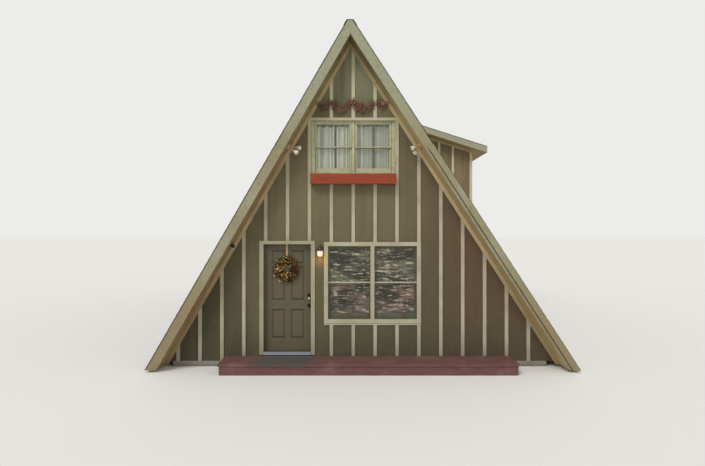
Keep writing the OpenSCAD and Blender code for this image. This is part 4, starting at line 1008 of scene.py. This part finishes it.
# Deck
# Boards of two-inch stock stained red brown, screwed across joists that stand on the ground.
# Before the door the top is painted grey: feet have worn the stain through to grey wood, and painted
# shade lies there too.
deck = Finish("deck_stain", roughness=0.75)
deck_grain = deck.noise(4.0, 6.0, 0.65, (0.9, 22.0, 22.0))
deck_wear = deck.noise(2.6, 5.0, 0.65)
from_door = deck.axis("X").off(DOOR_X).step(0.75, 0.25)
on_top = deck.axis("Z").step(DECK_TOP - 0.05, DECK_TOP - 0.03)
deck.paint(
    deck_grain.step(0.3, 0.75), (112, 72, 66), (84, 52, 48),
    (deck_wear.step(0.5, 0.75) * 0.5, (128, 106, 94)),
    # worn grey and painted shade before the door
    (from_door * deck_wear.step(0.25, 0.5) * on_top * 0.95, (70, 72, 68)),
)
deck.bump(deck_grain, 0.0015, 0.7)
deck.cover("deck_boards", "deck_frame")

# Nails and screws
# Nail heads along the battens, casings and rake boards, and the screws of the deck, which the paint
# covered once; most show bare grey or a ring of rust.
nail = Finish("painted_nail", roughness=0.7)
nail_wear = nail.noise(260.0, 2.0, 0.6)
nail.paint(
    nail.tone(), (146, 140, 112), (104, 80, 58),
    (nail_wear.step(0.5, 0.7) * 0.6, (78, 58, 42)),
)
BATTEN_X0 = 0.06
BATTEN_PITCH = 0.4064
NAIL_R, SCREW_R = 0.0045, 0.004
NAIL_STRAY = 0.03
RAY_START = 6.5
BOARD_PITCH = 0.145
SCREW_OFFSET = 0.045


def heads(node, origins, direction, radius):
    """Low six-sided domes, one ring sunk and two proud, where the rays from origins along direction
    first meet a face of a node that looks back at them."""
    towards = Vector(direction)
    found = [nodes[node].ray_cast(Vector(origin), towards) for origin in origins]
    places = np.array([place for hit, place, normal, _ in found if hit and normal.dot(towards) < -0.99])
    path = places[:, None] - np.array(direction) * np.array([-0.001, 0.0006, 0.0013])[:, None]
    radii = np.full((len(places), 3), radius) * np.array([1.0, 1.0, 0.6])
    return tubes(path, radii, sides=6, across=(1.0, 0.0, 0.0))


def strayed(values, amount):
    return values + rng.uniform(-amount, amount, len(values))


def nail_rows(front):
    """Where the nails of one gable's trim stand, as (x, z): down every batten, round the door's and the
    big window's casings, and in two lines along each rake board."""
    rows = []
    for k in range(-8, 10):
        z = strayed(np.arange(0.25, 6.0, 0.406), NAIL_STRAY)
        rows.append(points_at(strayed(np.full(len(z), BATTEN_X0 + k * BATTEN_PITCH), 0.006), z))
    for x in (-0.447, 1.279) + ((-1.646, -0.69) if front else ()):
        z = strayed(np.arange(0.35, 2.3, 0.38), NAIL_STRAY)
        rows.append(points_at(x, z))
    for z in (0.84, 2.272):
        x = strayed(np.arange(-0.35, 1.3, 0.35), NAIL_STRAY)
        rows.append(points_at(x, z))
    for hand, pitch in ((-1.0, PITCH_LEFT), (1.0, PITCH_RIGHT)):
        for depth in (0.035, 0.125):
            down = strayed(np.arange(0.35, 7.1, 0.42), NAIL_STRAY)
            x = hand * (down * math.cos(pitch) - depth * math.sin(pitch))
            rows.append(points_at(x, RIDGE_Z - down * math.sin(pitch) - depth * math.cos(pitch)))
    return np.concatenate(rows)


nail_parts = []
for hand, gable_nodes in (
    (-1.0, ("front_battens", "window_casings", "door_casing", "front_rake_boards")),
    (1.0, ("back_battens", "window_casings", "back_rake_boards")),
):
    rows = nail_rows(hand < 0.0)
    origins = points_at(rows[:, 0], hand * RAY_START, rows[:, 1])
    nail_parts += [heads(node, origins, (0.0, -hand, 0.0), NAIL_R) for node in gable_nodes]
deck_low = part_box("deck_boards")[0]
frame_low, frame_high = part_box("deck_frame")
joist_x = np.linspace(frame_low.x + 0.019, frame_high.x - 0.019, 10)
board_y = deck_low.y + 0.07 + BOARD_PITCH * np.arange(4)
screw_x, screw_y = np.meshgrid(joist_x, np.concatenate([board_y - SCREW_OFFSET, board_y + SCREW_OFFSET]))
screw_places = points_at(screw_x.ravel(), screw_y.ravel(), DECK_TOP + 0.5)
nail_parts.append(heads("deck_boards", screw_places, (0.0, 0.0, -1.0), SCREW_R))
nail_points, nail_quads = joined(nail_parts)
nail_tones = np.repeat(rng.beta(0.7, 1.2, len(nail_points) // 18), 18)
nails = mesh_piece("nail_heads", nail_points, nail_quads, nail, tone=nail_tones)
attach(nails, "house")
